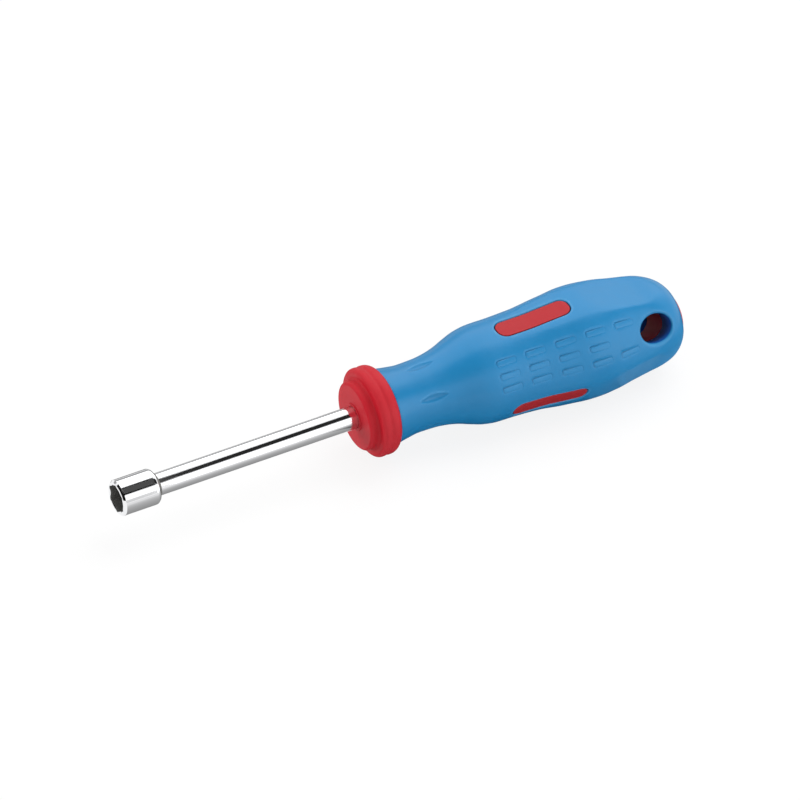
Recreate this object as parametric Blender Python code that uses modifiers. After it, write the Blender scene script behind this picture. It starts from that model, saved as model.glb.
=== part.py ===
"""Fixed nut driver: a chromed hexagon socket and shaft in a moulded two-colour handle.

Units are metres. The tool lies along X with the socket at -X and the butt at +X, one ridge of the
handle faces up, and Z = 0 is the lowest point of the handle. Places along the tool are stations,
measured from just in front of the collar and growing towards the butt.
"""

import math

import bmesh
import bpy
import numpy as np

MM = 0.001
FIT_GAP = 0.3 * MM

# Socket and shaft
SOCKET_FRONT = -80.2 * MM
SOCKET_REAR = -66.2 * MM
SOCKET_RADIUS = 5.7 * MM
SOCKET_FRONT_ROUND = 0.5 * MM
SOCKET_REAR_SLOPE = 1.8 * MM
HEX_ACROSS_FLATS = 8.0 * MM
HEX_DEPTH = 10.0 * MM
HEX_TURN = math.radians(10.0)
LEAD_IN_RADIUS = 4.4 * MM
LEAD_IN_DEPTH = 0.5 * MM
SPIGOT_RADIUS = 2.5 * MM
SPIGOT_LENGTH = 3.7 * MM
SHAFT_RADIUS = 3.45 * MM
SHAFT_END = 62.0 * MM
SHAFT_END_CHAMFER = 0.6 * MM
WING_START = 44.0 * MM
WING_LENGTH = 12.0 * MM
WING_WIDTH = 10.0 * MM
WING_THICKNESS = 2.6 * MM

# Front collar
BOSS_FRONT = 0.8 * MM
BOSS_RADIUS = 10.8 * MM
BOSS_EDGE_ROUND = 0.8 * MM
COLLAR_LIP_RADIUS = 4.4 * MM
COLLAR_LIP_HEIGHT = 0.3 * MM
FLANGE_FRONT = 3.75 * MM
FLANGE_RADIUS = 13.95 * MM
FLANGE_EDGE_ROUND = 1.3 * MM
FLANGE_GROOVE = 6.6 * MM
FLANGE_GROOVE_DEPTH = 0.2 * MM
FLANGE_SHOULDER = 7.8 * MM
COLLAR_REAR = 10.6 * MM
COLLAR_REAR_RADIUS = 11.8 * MM
COLLAR_REAR_ARC = math.radians(75.0)
NOSE_RADIUS = 7.4 * MM
NOSE_DEPTH = 4.0 * MM

# Handle: (station, radius) of the turned neck, the ridge flats and the crowned panels, in millimetres
NECK_RADII = [(10.6, 11.9), (14.3, 11.2), (19.0, 10.65), (24.0, 10.75), (28.0, 11.2), (32.0, 12.1),
              (36.0, 13.5), (40.0, 14.9), (44.0, 15.9), (50.0, 16.6), (67.0, 18.0), (110.0, 19.5)]
RIDGE_FLATS = [(10.6, 14.0), (30.0, 14.5), (38.0, 15.5), (44.0, 15.6), (50.0, 14.9), (58.0, 15.1),
               (67.0, 15.9), (76.0, 16.9), (85.0, 15.7), (91.0, 14.7), (97.0, 13.8), (110.0, 12.3)]
PANEL_CROWNS = [(10.6, 14.0), (30.0, 14.5), (38.0, 15.5), (44.0, 15.6), (50.0, 15.2), (58.0, 15.5),
                (67.0, 16.3), (76.0, 17.3), (85.0, 16.2), (91.0, 15.0), (97.0, 14.0), (110.0, 12.3)]
PANEL_ARC_RADIUS = 28.0 * MM
SECTION_SHARPNESS = 24.0
RIDGE_STEP = math.radians(120.0)
END_ROUND_START = 97.0 * MM
HANDLE_END = 108.2 * MM
END_ROUND_POWER = 2.4
GRIP_THICKNESS = 3.2 * MM

# The moulded handle leaves the shaft's line a little, towards its lower near ridge: (station, shift)
LEAN_SHIFTS = [(10.6, 0.0), (44.0, 0.0), (60.0, 0.3), (76.0, 0.6), (97.0, 1.2), (110.0, 1.6)]
LEAN_TURN = RIDGE_STEP

# Windows, hanging hole and butt
WINDOW_CENTRE = 60.2 * MM
WINDOW_LENGTH = 25.0 * MM
WINDOW_WIDTH = 7.4 * MM
WINDOW_CORNER = 3.2 * MM
LAND_SINK = 0.35 * MM
HOLE_CENTRE = 96.0 * MM
HOLE_LENGTH = 10.6 * MM
HOLE_WIDTH = 8.8 * MM
HOLE_TURN = math.radians(60.0)
CORE_REAR = 103.5 * MM
SLEEVE_REAR = 106.3 * MM
SLEEVE_LIP = 0.25 * MM
CAP_RADIUS = 7.0 * MM
CAP_FRONT = CORE_REAR + FIT_GAP
CAP_END = 107.8 * MM
CAP_EDGE_ROUND = 1.2 * MM
CAP_SPIGOT_RADIUS = 4.0 * MM
CAP_SPIGOT_LENGTH = 1.0 * MM

# Mesh fineness
AROUND = 42
ARC_STEPS = 4
BODY_RINGS = 24
END_RINGS = 6
END_RING_CROWDING = 0.7
INNER_RINGS = 16
CUTTER_REACH = 24.0 * MM
CUTTER_LIFT = 0.6 * CUTTER_REACH
SHARP_EDGE = math.radians(40.0)


def monotone_curve(points, stations):
    """Smooth curve through (station, value) pairs in millimetres, without overshoot, in metres."""
    xs, ys = np.array(points).T * MM
    step = np.diff(xs)
    slope = np.diff(ys) / step
    tangent = np.zeros_like(xs)
    same_way = slope[:-1] * slope[1:] > 0
    total = np.where(same_way, slope[:-1] + slope[1:], 1.0)
    tangent[1:-1] = np.where(same_way, 2.0 * slope[:-1] * slope[1:] / total, 0.0)
    tangent[0] = slope[0]
    tangent[-1] = slope[-1]
    place = np.clip(np.searchsorted(xs, stations) - 1, 0, len(step) - 1)
    t = (stations - xs[place]) / step[place]
    start = (1 + 2 * t) * (1 - t) ** 2 * ys[place] + t * (1 - t) ** 2 * step[place] * tangent[place]
    end = t * t * (3 - 2 * t) * ys[place + 1] + t * t * (t - 1) * step[place] * tangent[place + 1]
    return start + end


def handle_radius(stations, angles):
    """Outer radius of the grip. Angle 0 is up, where one of the three ridges lies."""
    flat = monotone_curve(RIDGE_FLATS, stations)
    crown = monotone_curve(PANEL_CROWNS, stations)
    neck = monotone_curve(NECK_RADII, stations)
    from_ridge = np.abs((angles + RIDGE_STEP / 2) % RIDGE_STEP - RIDGE_STEP / 2)
    from_panel = RIDGE_STEP / 2 - from_ridge
    offset = crown - PANEL_ARC_RADIUS
    panel = offset * np.cos(from_panel)
    panel = panel + np.sqrt(PANEL_ARC_RADIUS ** 2 - (offset * np.sin(from_panel)) ** 2)
    surfaces = (neck, flat / np.cos(from_ridge), panel)
    blend = sum(surface ** -SECTION_SHARPNESS for surface in surfaces) ** (-1 / SECTION_SHARPNESS)
    past = np.clip((stations - END_ROUND_START) / (HANDLE_END - END_ROUND_START), 0, 1)
    return blend * (1 - past ** END_ROUND_POWER) ** (1 / END_ROUND_POWER)


def handle_centre(station):
    """Where the handle's section is centred at a station, as (y, z) from the shaft's line."""
    shift = monotone_curve(LEAN_SHIFTS, np.array([station]))[0]
    return -shift * math.sin(LEAN_TURN), shift * math.cos(LEAN_TURN)


def axis_height():
    """Height of the shaft's line when the lower panel touches Z = 0."""
    stations = np.linspace(COLLAR_REAR, END_ROUND_START, 10 * BODY_RINGS)
    below = handle_radius(stations, np.full_like(stations, math.pi))
    return float(np.max(below - monotone_curve(LEAN_SHIFTS, stations) * math.cos(LEAN_TURN)))


def clear_scene():
    for old in list(bpy.data.objects):
        bpy.data.objects.remove(old, do_unlink=True)


def new_collection(name):
    collection = bpy.data.collections.new(name)
    bpy.context.scene.collection.children.link(collection)
    return collection


def new_material(name, colour, roughness, metallic):
    material = bpy.data.materials.new(name)
    material.use_nodes = True
    shader = material.node_tree.nodes["Principled BSDF"]
    shader.inputs["Base Color"].default_value = (*colour, 1.0)
    shader.inputs["Roughness"].default_value = roughness
    shader.inputs["Metallic"].default_value = metallic
    return material


def arc(centre, radius, start_degrees, end_degrees):
    """Points of an arc in the (station, radius) plane; 0 degrees points to the butt, 90 outward."""
    angles = np.radians(np.linspace(start_degrees, end_degrees, ARC_STEPS + 1))
    return [(centre[0] + radius * math.cos(a), centre[1] + radius * math.sin(a)) for a in angles]


def add_object(name, mesh, collection, axis):
    item = bpy.data.objects.new(name, mesh)
    collection.objects.link(item)
    item.parent = axis
    return item


def turned(name, profile, closed, collection, axis):
    """Revolve (station, radius) points, listed from front to rear along the outer side."""
    mesh = bpy.data.meshes.new(name)
    points = [(radius, 0.0, -station) for station, radius in profile]
    edges = [(i, i + 1) for i in range(len(points) - 1)]
    if closed:
        edges.append((len(points) - 1, 0))
    mesh.from_pydata(points, edges, [])
    item = add_object(name, mesh, collection, axis)
    item.rotation_euler = (0.0, -math.pi / 2, 0.0)
    screw = item.modifiers.new("Turn", "SCREW")
    screw.axis = "Z"
    screw.steps = AROUND
    screw.render_steps = AROUND
    screw.use_merge_vertices = True
    screw.merge_threshold = 0.01 * MM
    screw.use_smooth_shade = True
    return item


def ring(station, radii):
    """Points of one handle section, from its radii or from one radius."""
    angles = np.arange(AROUND) * 2 * math.pi / AROUND
    centre_y, centre_z = handle_centre(station)
    across = np.broadcast_to(radii, angles.shape)
    ys = centre_y - across * np.sin(angles)
    zs = centre_z + across * np.cos(angles)
    return [(station, y, z) for y, z in zip(ys, zs)]


def handle_rings(stations, inset):
    angles = np.arange(AROUND) * 2 * math.pi / AROUND
    return [ring(station, handle_radius(np.full(AROUND, station), angles) - inset) for station in stations]


def loft(name, rings, is_shell, collection, axis):
    """Skin a row of rings; a shell joins its last ring to its first, and a solid is capped."""
    count = len(rings)
    faces = []
    for i in range(count if is_shell else count - 1):
        here = i * AROUND
        there = (i + 1) % count * AROUND
        for j in range(AROUND):
            k = (j + 1) % AROUND
            faces.append((here + j, there + j, there + k, here + k))
    if not is_shell:
        faces.append(tuple(range(AROUND)))
        faces.append(tuple(reversed(range((count - 1) * AROUND, count * AROUND))))
    mesh = bpy.data.meshes.new(name)
    mesh.from_pydata([point for points in rings for point in points], [], faces)
    skin = bmesh.new()
    skin.from_mesh(mesh)
    bmesh.ops.recalc_face_normals(skin, faces=skin.faces)
    skin.to_mesh(mesh)
    skin.free()
    mesh.shade_smooth()
    mesh.set_sharp_from_angle(angle=SHARP_EDGE)
    return add_object(name, mesh, collection, axis)


def rounded_block(name, size, corner, collection, axis):
    """Block with its upright edges rounded; size is (along, across, up)."""
    mesh = bpy.data.meshes.new(name)
    block = bmesh.new()
    bmesh.ops.create_cube(block, size=1.0)
    bmesh.ops.scale(block, vec=size, verts=block.verts)
    upright = [e for e in block.edges if abs(e.verts[0].co.z - e.verts[1].co.z) > size[2] / 2]
    bmesh.ops.bevel(block, geom=upright, offset=corner, segments=ARC_STEPS, profile=0.5, affect="EDGES")
    block.to_mesh(mesh)
    block.free()
    return add_object(name, mesh, collection, axis)


def cylinder(name, front_radius, rear_radius, depth, segments, collection, axis):
    """Cylinder or cone along its local Z; the front end is the +Z end."""
    mesh = bpy.data.meshes.new(name)
    body = bmesh.new()
    bmesh.ops.create_cone(body, cap_ends=True, segments=segments, radius1=rear_radius,
                          radius2=front_radius, depth=depth)
    body.to_mesh(mesh)
    body.free()
    return add_object(name, mesh, collection, axis)


def along_tool(item, station, turn=0.0):
    """Lay an object's local Z along the tool, pointing to the socket, and turn it about that line."""
    item.location = (station, 0.0, 0.0)
    item.rotation_mode = "ZYX"
    item.rotation_euler = (0.0, -math.pi / 2, turn)


def across_handle(item, station, turn, lift):
    """Stand an object's local Z out of the handle's centre, at an angle from up."""
    centre_y, centre_z = handle_centre(station)
    item.location = (station, centre_y - lift * math.sin(turn), centre_z + lift * math.cos(turn))
    item.rotation_euler = (turn, 0.0, 0.0)


def centre_on_handle(item, station):
    """Shift an object that lies along the tool to the handle's centre at a station."""
    item.location.y, item.location.z = handle_centre(station)


def boolean(item, other, operation):
    modifier = item.modifiers.new(operation.title() + " " + other.name, "BOOLEAN")
    modifier.operation = operation
    modifier.object = other
    modifier.solver = "EXACT"


def hide_cutters(collection):
    for item in collection.objects:
        item.hide_render = True
        item.display_type = "WIRE"


def make_socket(parts, cutters, axis):
    round_centre = (SOCKET_FRONT + SOCKET_FRONT_ROUND, SOCKET_RADIUS - SOCKET_FRONT_ROUND)
    rear_centre = (SOCKET_REAR - SOCKET_REAR_SLOPE, SOCKET_RADIUS - SOCKET_REAR_SLOPE)
    bore = SPIGOT_RADIUS + FIT_GAP
    profile = [(SOCKET_FRONT, bore)]
    profile += arc(round_centre, SOCKET_FRONT_ROUND, 180, 90)
    profile += arc(rear_centre, SOCKET_REAR_SLOPE, 90, 15)
    profile += [(SOCKET_REAR, SHAFT_RADIUS), (SOCKET_REAR, bore)]
    socket = turned("socket_head", profile, True, parts, axis)
    corner_radius = HEX_ACROSS_FLATS / 2 / math.cos(math.pi / 6)
    recess = cylinder("hex_recess", corner_radius, corner_radius, 2 * HEX_DEPTH, 6, cutters, axis)
    along_tool(recess, SOCKET_FRONT, HEX_TURN)
    mouth_radius = LEAD_IN_RADIUS + LEAD_IN_DEPTH
    floor_radius = LEAD_IN_RADIUS - LEAD_IN_DEPTH
    lead_in = cylinder("lead_in", mouth_radius, floor_radius, 2 * LEAD_IN_DEPTH, AROUND, cutters, axis)
    along_tool(lead_in, SOCKET_FRONT)
    boolean(socket, recess, "DIFFERENCE")
    boolean(socket, lead_in, "DIFFERENCE")
    return socket


def make_shaft(parts, cutters, axis):
    shoulder = SOCKET_REAR + FIT_GAP
    tip = shoulder - SPIGOT_LENGTH
    profile = [(tip, 0.0), (tip, SPIGOT_RADIUS), (shoulder, SPIGOT_RADIUS), (shoulder, SHAFT_RADIUS),
               (SHAFT_END - SHAFT_END_CHAMFER, SHAFT_RADIUS),
               (SHAFT_END, SHAFT_RADIUS - SHAFT_END_CHAMFER), (SHAFT_END, 0.0)]
    shaft = turned("shaft", profile, False, parts, axis)
    wings = rounded_block("wings", (WING_LENGTH, WING_WIDTH, WING_THICKNESS), FIT_GAP, cutters, axis)
    wings.location = (WING_START + WING_LENGTH / 2, 0.0, 0.0)
    boolean(shaft, wings, "UNION")
    return shaft


def make_collar(parts, axis):
    bore = SHAFT_RADIUS + FIT_GAP
    lip_round = COLLAR_LIP_HEIGHT
    boss_centre = (BOSS_FRONT + BOSS_EDGE_ROUND, BOSS_RADIUS - BOSS_EDGE_ROUND)
    front_centre = (FLANGE_FRONT + FLANGE_EDGE_ROUND, FLANGE_RADIUS - FLANGE_EDGE_ROUND)
    rear_span = COLLAR_REAR - FLANGE_SHOULDER
    rear_drop = FLANGE_RADIUS - COLLAR_REAR_RADIUS
    counterbore = NOSE_RADIUS + FIT_GAP
    profile = [(BOSS_FRONT - COLLAR_LIP_HEIGHT, bore)]
    profile += arc((BOSS_FRONT, COLLAR_LIP_RADIUS - lip_round), lip_round, 180, 90)
    profile += arc(boss_centre, BOSS_EDGE_ROUND, 180, 90)
    profile += [(FLANGE_FRONT, BOSS_RADIUS)]
    profile += arc(front_centre, FLANGE_EDGE_ROUND, 180, 90)
    profile += [(FLANGE_GROOVE, FLANGE_RADIUS - FLANGE_GROOVE_DEPTH)]
    for step in range(ARC_STEPS + 1):
        angle = COLLAR_REAR_ARC * step / ARC_STEPS
        along = rear_span * math.sin(angle) / math.sin(COLLAR_REAR_ARC)
        down = rear_drop * (1 - math.cos(angle)) / (1 - math.cos(COLLAR_REAR_ARC))
        profile.append((FLANGE_SHOULDER + along, FLANGE_RADIUS - down))
    profile += [(COLLAR_REAR, counterbore), (COLLAR_REAR - NOSE_DEPTH, counterbore),
                (COLLAR_REAR - NOSE_DEPTH, bore)]
    return turned("front_collar", profile, True, parts, axis)


def make_core(parts, cutters, axis, hole):
    shoulder = COLLAR_REAR + FIT_GAP
    inset = GRIP_THICKNESS + FIT_GAP
    rings = [ring(shoulder - NOSE_DEPTH, NOSE_RADIUS), ring(shoulder, NOSE_RADIUS)]
    rings += handle_rings(np.linspace(shoulder, CORE_REAR, INNER_RINGS), inset)
    core = loft("handle_core", rings, False, parts, axis)
    limit_stations = np.linspace(WINDOW_CENTRE - WINDOW_LENGTH, WINDOW_CENTRE + WINDOW_LENGTH, INNER_RINGS)
    limit = loft("land_limit", handle_rings(limit_stations, LAND_SINK), False, cutters, axis)
    for i in range(3):
        size = (WINDOW_LENGTH - 2 * FIT_GAP, WINDOW_WIDTH - 2 * FIT_GAP, CUTTER_REACH / 2)
        land = rounded_block(f"land_{i + 1}", size, WINDOW_CORNER - FIT_GAP, cutters, axis)
        across_handle(land, WINDOW_CENTRE, i * RIDGE_STEP, CUTTER_LIFT)
        boolean(land, limit, "INTERSECT")
        boolean(core, land, "UNION")
    bore_radius = SHAFT_RADIUS + FIT_GAP
    bore_length = SHAFT_END + 2 * FIT_GAP
    bore = cylinder("shaft_bore", bore_radius, bore_radius, bore_length, AROUND, cutters, axis)
    along_tool(bore, bore_length / 2)
    slot_size = (WING_LENGTH + 2 * FIT_GAP, WING_WIDTH + 2 * FIT_GAP, WING_THICKNESS + 2 * FIT_GAP)
    slot = rounded_block("wing_slot", slot_size, FIT_GAP, cutters, axis)
    slot.location = (WING_START + WING_LENGTH / 2, 0.0, 0.0)
    pocket_radius = CAP_SPIGOT_RADIUS + FIT_GAP
    pocket_depth = CAP_SPIGOT_LENGTH
    pocket = cylinder("cap_pocket", pocket_radius, pocket_radius, 2 * pocket_depth, AROUND, cutters, axis)
    along_tool(pocket, CORE_REAR)
    centre_on_handle(pocket, CAP_END)
    for cutter in (bore, slot, pocket, hole):
        boolean(core, cutter, "DIFFERENCE")
    return core


def make_grip(parts, cutters, axis, hole):
    front = COLLAR_REAR + FIT_GAP
    inner_end = CORE_REAR + FIT_GAP
    opening = CAP_RADIUS + FIT_GAP
    body_stations = np.linspace(front, END_ROUND_START, BODY_RINGS)
    towards_end = np.linspace(0.0, 1.0, END_RINGS + 1)[1:] ** END_RING_CROWDING
    end_stations = END_ROUND_START + (SLEEVE_REAR - END_ROUND_START) * towards_end
    outer = handle_rings(np.concatenate([body_stations, end_stations]), 0.0)
    inner = handle_rings(np.linspace(inner_end, front, INNER_RINGS), GRIP_THICKNESS)
    mouth = [ring(SLEEVE_REAR + SLEEVE_LIP, opening), ring(inner_end, opening)]
    sleeve = loft("grip_sleeve", outer + mouth + inner, True, parts, axis)
    for i in range(3):
        size = (WINDOW_LENGTH, WINDOW_WIDTH, CUTTER_REACH / 2)
        window = rounded_block(f"window_{i + 1}", size, WINDOW_CORNER, cutters, axis)
        across_handle(window, WINDOW_CENTRE, i * RIDGE_STEP, CUTTER_LIFT)
        boolean(sleeve, window, "DIFFERENCE")
    boolean(sleeve, hole, "DIFFERENCE")
    return sleeve


def make_cap(parts, axis):
    spigot_front = CAP_FRONT - CAP_SPIGOT_LENGTH
    edge_centre = (CAP_END - CAP_EDGE_ROUND, CAP_RADIUS - CAP_EDGE_ROUND)
    profile = [(spigot_front, 0.0), (spigot_front, CAP_SPIGOT_RADIUS), (CAP_FRONT, CAP_SPIGOT_RADIUS),
               (CAP_FRONT, CAP_RADIUS)]
    profile += arc(edge_centre, CAP_EDGE_ROUND, 90, 0)
    profile += [(CAP_END, 0.0)]
    cap = turned("end_cap", profile, False, parts, axis)
    centre_on_handle(cap, CAP_END)
    return cap


def main():
    clear_scene()
    parts = new_collection("nut_driver")
    cutters = new_collection("cutters")
    axis = bpy.data.objects.new("tool_axis", None)
    parts.objects.link(axis)
    axis.location = (-(SOCKET_FRONT + CAP_END) / 2, 0.0, axis_height())

    hole = cylinder("hanging_hole", HOLE_WIDTH / 2, HOLE_WIDTH / 2, 2 * CUTTER_REACH, AROUND, cutters, axis)
    hole.data.transform(((HOLE_LENGTH / HOLE_WIDTH, 0, 0, 0), (0, 1, 0, 0), (0, 0, 1, 0), (0, 0, 0, 1)))
    across_handle(hole, HOLE_CENTRE, HOLE_TURN, 0.0)

    chrome = new_material("chrome", (0.82, 0.83, 0.85), 0.08, 1.0)
    red_plastic = new_material("red_plastic", (0.52, 0.03, 0.04), 0.35, 0.0)
    blue_grip = new_material("blue_grip", (0.05, 0.24, 0.47), 0.5, 0.0)
    finished = [
        (make_socket(parts, cutters, axis), chrome),
        (make_shaft(parts, cutters, axis), chrome),
        (make_collar(parts, axis), red_plastic),
        (make_core(parts, cutters, axis, hole), red_plastic),
        (make_grip(parts, cutters, axis, hole), blue_grip),
        (make_cap(parts, axis), red_plastic),
    ]
    for item, material in finished:
        item.data.materials.append(material)
    hide_cutters(cutters)


main()
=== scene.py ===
"""Finished look of a fixed nut driver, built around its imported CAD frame.

Units are metres. Places along the tool are stations, measured from just in front of the collar and
growing towards the butt. Turns are angles about the tool, from straight up towards -Y.
"""

import itertools
import math

import bmesh
import bpy
import numpy as np
from bpy.props import FloatProperty, FloatVectorProperty, IntProperty, PointerProperty
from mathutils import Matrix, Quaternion, Vector
from mathutils.geometry import delaunay_2d_cdt
from mathutils.kdtree import KDTree


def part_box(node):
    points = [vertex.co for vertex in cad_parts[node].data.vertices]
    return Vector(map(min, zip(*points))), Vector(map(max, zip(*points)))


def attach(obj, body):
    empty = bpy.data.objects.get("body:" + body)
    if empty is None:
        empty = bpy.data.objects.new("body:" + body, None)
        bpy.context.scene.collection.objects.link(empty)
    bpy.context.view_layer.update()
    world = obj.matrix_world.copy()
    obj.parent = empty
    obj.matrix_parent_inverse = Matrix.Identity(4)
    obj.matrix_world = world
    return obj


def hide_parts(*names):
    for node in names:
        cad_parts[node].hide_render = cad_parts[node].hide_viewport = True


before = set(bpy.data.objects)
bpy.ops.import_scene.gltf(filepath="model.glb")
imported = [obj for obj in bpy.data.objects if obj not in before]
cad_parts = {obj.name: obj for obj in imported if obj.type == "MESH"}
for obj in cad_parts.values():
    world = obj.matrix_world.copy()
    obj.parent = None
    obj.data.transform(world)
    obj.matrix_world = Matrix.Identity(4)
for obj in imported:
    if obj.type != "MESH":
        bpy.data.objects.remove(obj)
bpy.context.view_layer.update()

bl_info = {
    "name": "Nut Driver",
    "version": (1, 0, 0),
    "blender": (4, 5, 0),
    "location": "3D View > Sidebar > Nut Driver",
    "description": "Builds the finished pieces of a fixed nut driver around its CAD frame",
    "category": "Object",
}

MM = 0.001
BODY = "root"

# Handle: (station, radius) of the turned neck, the ridge flats and the crowned panels, in millimetres
NECK_RADII = [(10.6, 11.9), (14.3, 11.2), (19.0, 10.65), (24.0, 10.75), (28.0, 11.2), (32.0, 12.1),
              (36.0, 13.5), (40.0, 14.75), (44.0, 15.35), (50.0, 15.5), (58.0, 16.0), (67.0, 17.4),
              (76.0, 17.85), (86.0, 17.75), (93.0, 16.4), (97.0, 14.95), (103.0, 13.65), (110.0, 13.0)]
RIDGE_FLATS = [(10.6, 14.0), (30.0, 14.5), (38.0, 15.8), (44.0, 15.8), (50.0, 15.5), (58.0, 15.3),
               (67.0, 15.9), (76.0, 16.65), (85.0, 15.45), (91.0, 14.3), (97.0, 13.5), (101.0, 13.7),
               (104.5, 14.6), (110.0, 15.0)]
PANEL_CROWNS = [(10.6, 14.0), (30.0, 14.5), (38.0, 15.8), (44.0, 15.8), (50.0, 15.4), (58.0, 15.5),
                (67.0, 16.3), (76.0, 17.3), (85.0, 16.2), (91.0, 15.0), (97.0, 14.2), (103.0, 14.0),
                (110.0, 14.0)]
LEAN_SHIFTS = [(10.6, 0.0), (44.0, 0.0), (60.0, 0.2), (76.0, 0.5), (97.0, 1.2), (110.0, 1.9)]
RIDGE_STEP = math.radians(120.0)
SECTION_TURN = math.radians(-2.8)
LEAN_TURN = RIDGE_STEP
# Turn of each window's middle, and its shift along the handle
WINDOWS = [(math.radians(-0.5), 0.0), (math.radians(114.0), -1.0 * MM), (math.radians(238.0), 0.0)]
PANEL_ARC_RADIUS = 28.0 * MM
FRONT_SHARPNESS = 28.0
REAR_SHARPNESS = 60.0
SHARPENED_FROM = 70.0 * MM
SHARPENED_TO = 95.0 * MM
CREASE_SHARPNESS = 70.0
END_ROUND_START = 97.0 * MM
HANDLE_END = 109.0 * MM
END_ROUND_POWER = 2.6

# Stations and radii that the pieces share
FIT_GAP = 0.3 * MM
SEAM_GAP = 0.03 * MM
SOCKET_REAR = -66.7 * MM
SHAFT_RADIUS = 3.55 * MM
SHAFT_END = 62.0 * MM
SPIGOT_RADIUS = 2.5 * MM
SPIGOT_LENGTH = 3.7 * MM
COLLAR_REAR = 10.6 * MM
NOSE_RADIUS = 7.4 * MM
NOSE_DEPTH = 4.0 * MM
CORE_REAR = 103.5 * MM
SLEEVE_REAR = 107.1 * MM
SLEEVE_LIP = 0.25 * MM
CAP_END = 108.5 * MM
CAP_RADIUS = 7.0 * MM
CAP_SPIGOT_RADIUS = 4.0 * MM
CAP_SPIGOT_LENGTH = 1.0 * MM

# Where the frame holds the tool's line
shaft_low, shaft_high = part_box("shaft")
FACE_X = shaft_high.x - SHAFT_END
AXIS_Z = (shaft_low.z + shaft_high.z) / 2

# Fineness of the meshes
RING_STEPS = 180
ARC_STEPS = 10
BRACE = 0.35 * MM
RIM_STEPS = 5
SKIN_ROW = 0.6 * MM
LINING_ROW = 3.0 * MM
LOOP_STEP = 0.55 * MM
LOOP_CLEARANCE = 0.42 * MM
FLAT_RADIUS = 15.0 * MM
SEAM_TURN = math.radians(-210.0)
RING_TURNS = np.linspace(SEAM_TURN, SEAM_TURN + 2 * math.pi, RING_STEPS, endpoint=False)
MERGE_DISTANCE = 0.002 * MM
SHARP_EDGE = math.radians(32.0)
FLAT_TOLERANCE = 1e-5
HOLE_ROUNDS = 12

# Relief of the grip: values stored for its node tree, outlines laid along its walls, and masks of painted
# shade and painted highlight
SKIN_VALUES = ("station", "turn", "reach", "skin")
SKIN_TOLERANCE = 0.01 * MM
WALL_STEPS = (0.5, 0.17, -0.17, -0.5, -1.2, -2.2)
DIMPLE_LEVELS = (0.0, 0.2, 0.5)
DIMPLE_STEPS = 15
DIMPLE_POWER = 0.7
# Dimple masks: painted shade on a dimple's lower side, a painted highlight along its upper rim
DIMPLE_SHADE = (-0.4, 0.5, 0.05, 0.45)
DIMPLE_LIGHT = (-0.2, 0.6, 1.0, 0.35)
DIMPLE_RIM = 0.3
DIMPLE_RIM_SHARPNESS = 3.0
DIMPLE_RIM_END = 0.95

# Finishes: tints where a stored mask says so, flow rings and gloss of the core, and how far the
# turning lines drift round the tool
GREY = (0.5, 0.5, 0.5, 1.0)
RUBBED_RED = (0.62, 0.07, 0.08, 1.0)
# Grip tints, by stored mask: painted shade in the border grooves and low in the dimples, a painted
# highlight beside them, and rims lightened partly as rubbed wear and partly as a painted highlight
BLUE_TINTS = [("crease", (0.003, 0.045, 0.130, 1.0), 0.5), ("glint", (0.09, 0.34, 0.62, 1.0), 0.4),
              ("edge", (0.16, 0.42, 0.66, 1.0), 0.4)]
CORE_STREAKS = 0.12
CORE_SPECULAR = 0.25
RING_DRIFT = 0.0006


def length(name, millimetres, description):
    return FloatProperty(name=name, description=description, default=millimetres * MM, unit="LENGTH",
                         precision=5)


def angle(name, degrees, description):
    return FloatProperty(name=name, description=description, default=math.radians(degrees), subtype="ANGLE")


def share(name, value, description):
    return FloatProperty(name=name, description=description, default=value, min=0.0, max=1.0,
                         subtype="FACTOR")


def plain(name, value, description):
    return FloatProperty(name=name, description=description, default=value)


def colour(name, value, description):
    return FloatVectorProperty(name=name, description=description, default=value, size=3, min=0.0, max=1.0,
                               subtype="COLOR")


class NUTDRIVER_PG_socket(bpy.types.PropertyGroup):
    front: length("Front station", -79.55, "Station of the socket's open end")
    radius: length("Outer radius", 5.7, "Outer radius of the socket")
    front_chamfer: length("Front chamfer", 0.68, "Chamfer of the socket's front edge")
    rear_slope: length("Rear slope", 1.5, "Rounding of the socket's rear shoulder")
    across_flats: length("Across flats", 8.2, "Width of the hexagon recess between two flats")
    depth: length("Recess depth", 10.0, "Depth of the hexagon recess")
    hex_turn: angle("Recess turn", -10.0, "Turn of one corner of the hexagon from straight up")
    lead_in: length("Lead-in radius", 4.35, "Radius of the chamfer at the mouth of the recess")


class NUTDRIVER_PG_collar(bpy.types.PropertyGroup):
    lip_radius: length("Lip radius", 4.4, "Radius of the thin lip round the shaft")
    lip_height: length("Lip height", 0.3, "How far the lip stands in front of the boss")
    boss_front: length("Boss front", 0.8, "Station of the boss's front face")
    boss_radius: length("Boss radius", 10.8, "Radius of the front boss")
    boss_round: length("Boss round", 1.0, "Rounding of the boss's front edge")
    fillet: length("Fillet", 0.9, "Rounding of the corner between the boss and the flange")
    flange_front: length("Flange front", 3.85, "Station of the flange's front face")
    flange_radius: length("Flange radius", 13.95, "Radius of the flange")
    flange_round: length("Flange round", 1.3, "Rounding of the flange's front edge")
    groove: length("Groove station", 6.6, "Station of the shallow groove round the flange")
    groove_depth: length("Groove depth", 0.2, "Depth of the shallow groove")
    shoulder: length("Shoulder station", 7.8, "Station where the flange starts to close to the grip")
    rear_radius: length("Rear radius", 11.8, "Radius of the collar where it meets the grip")


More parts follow.
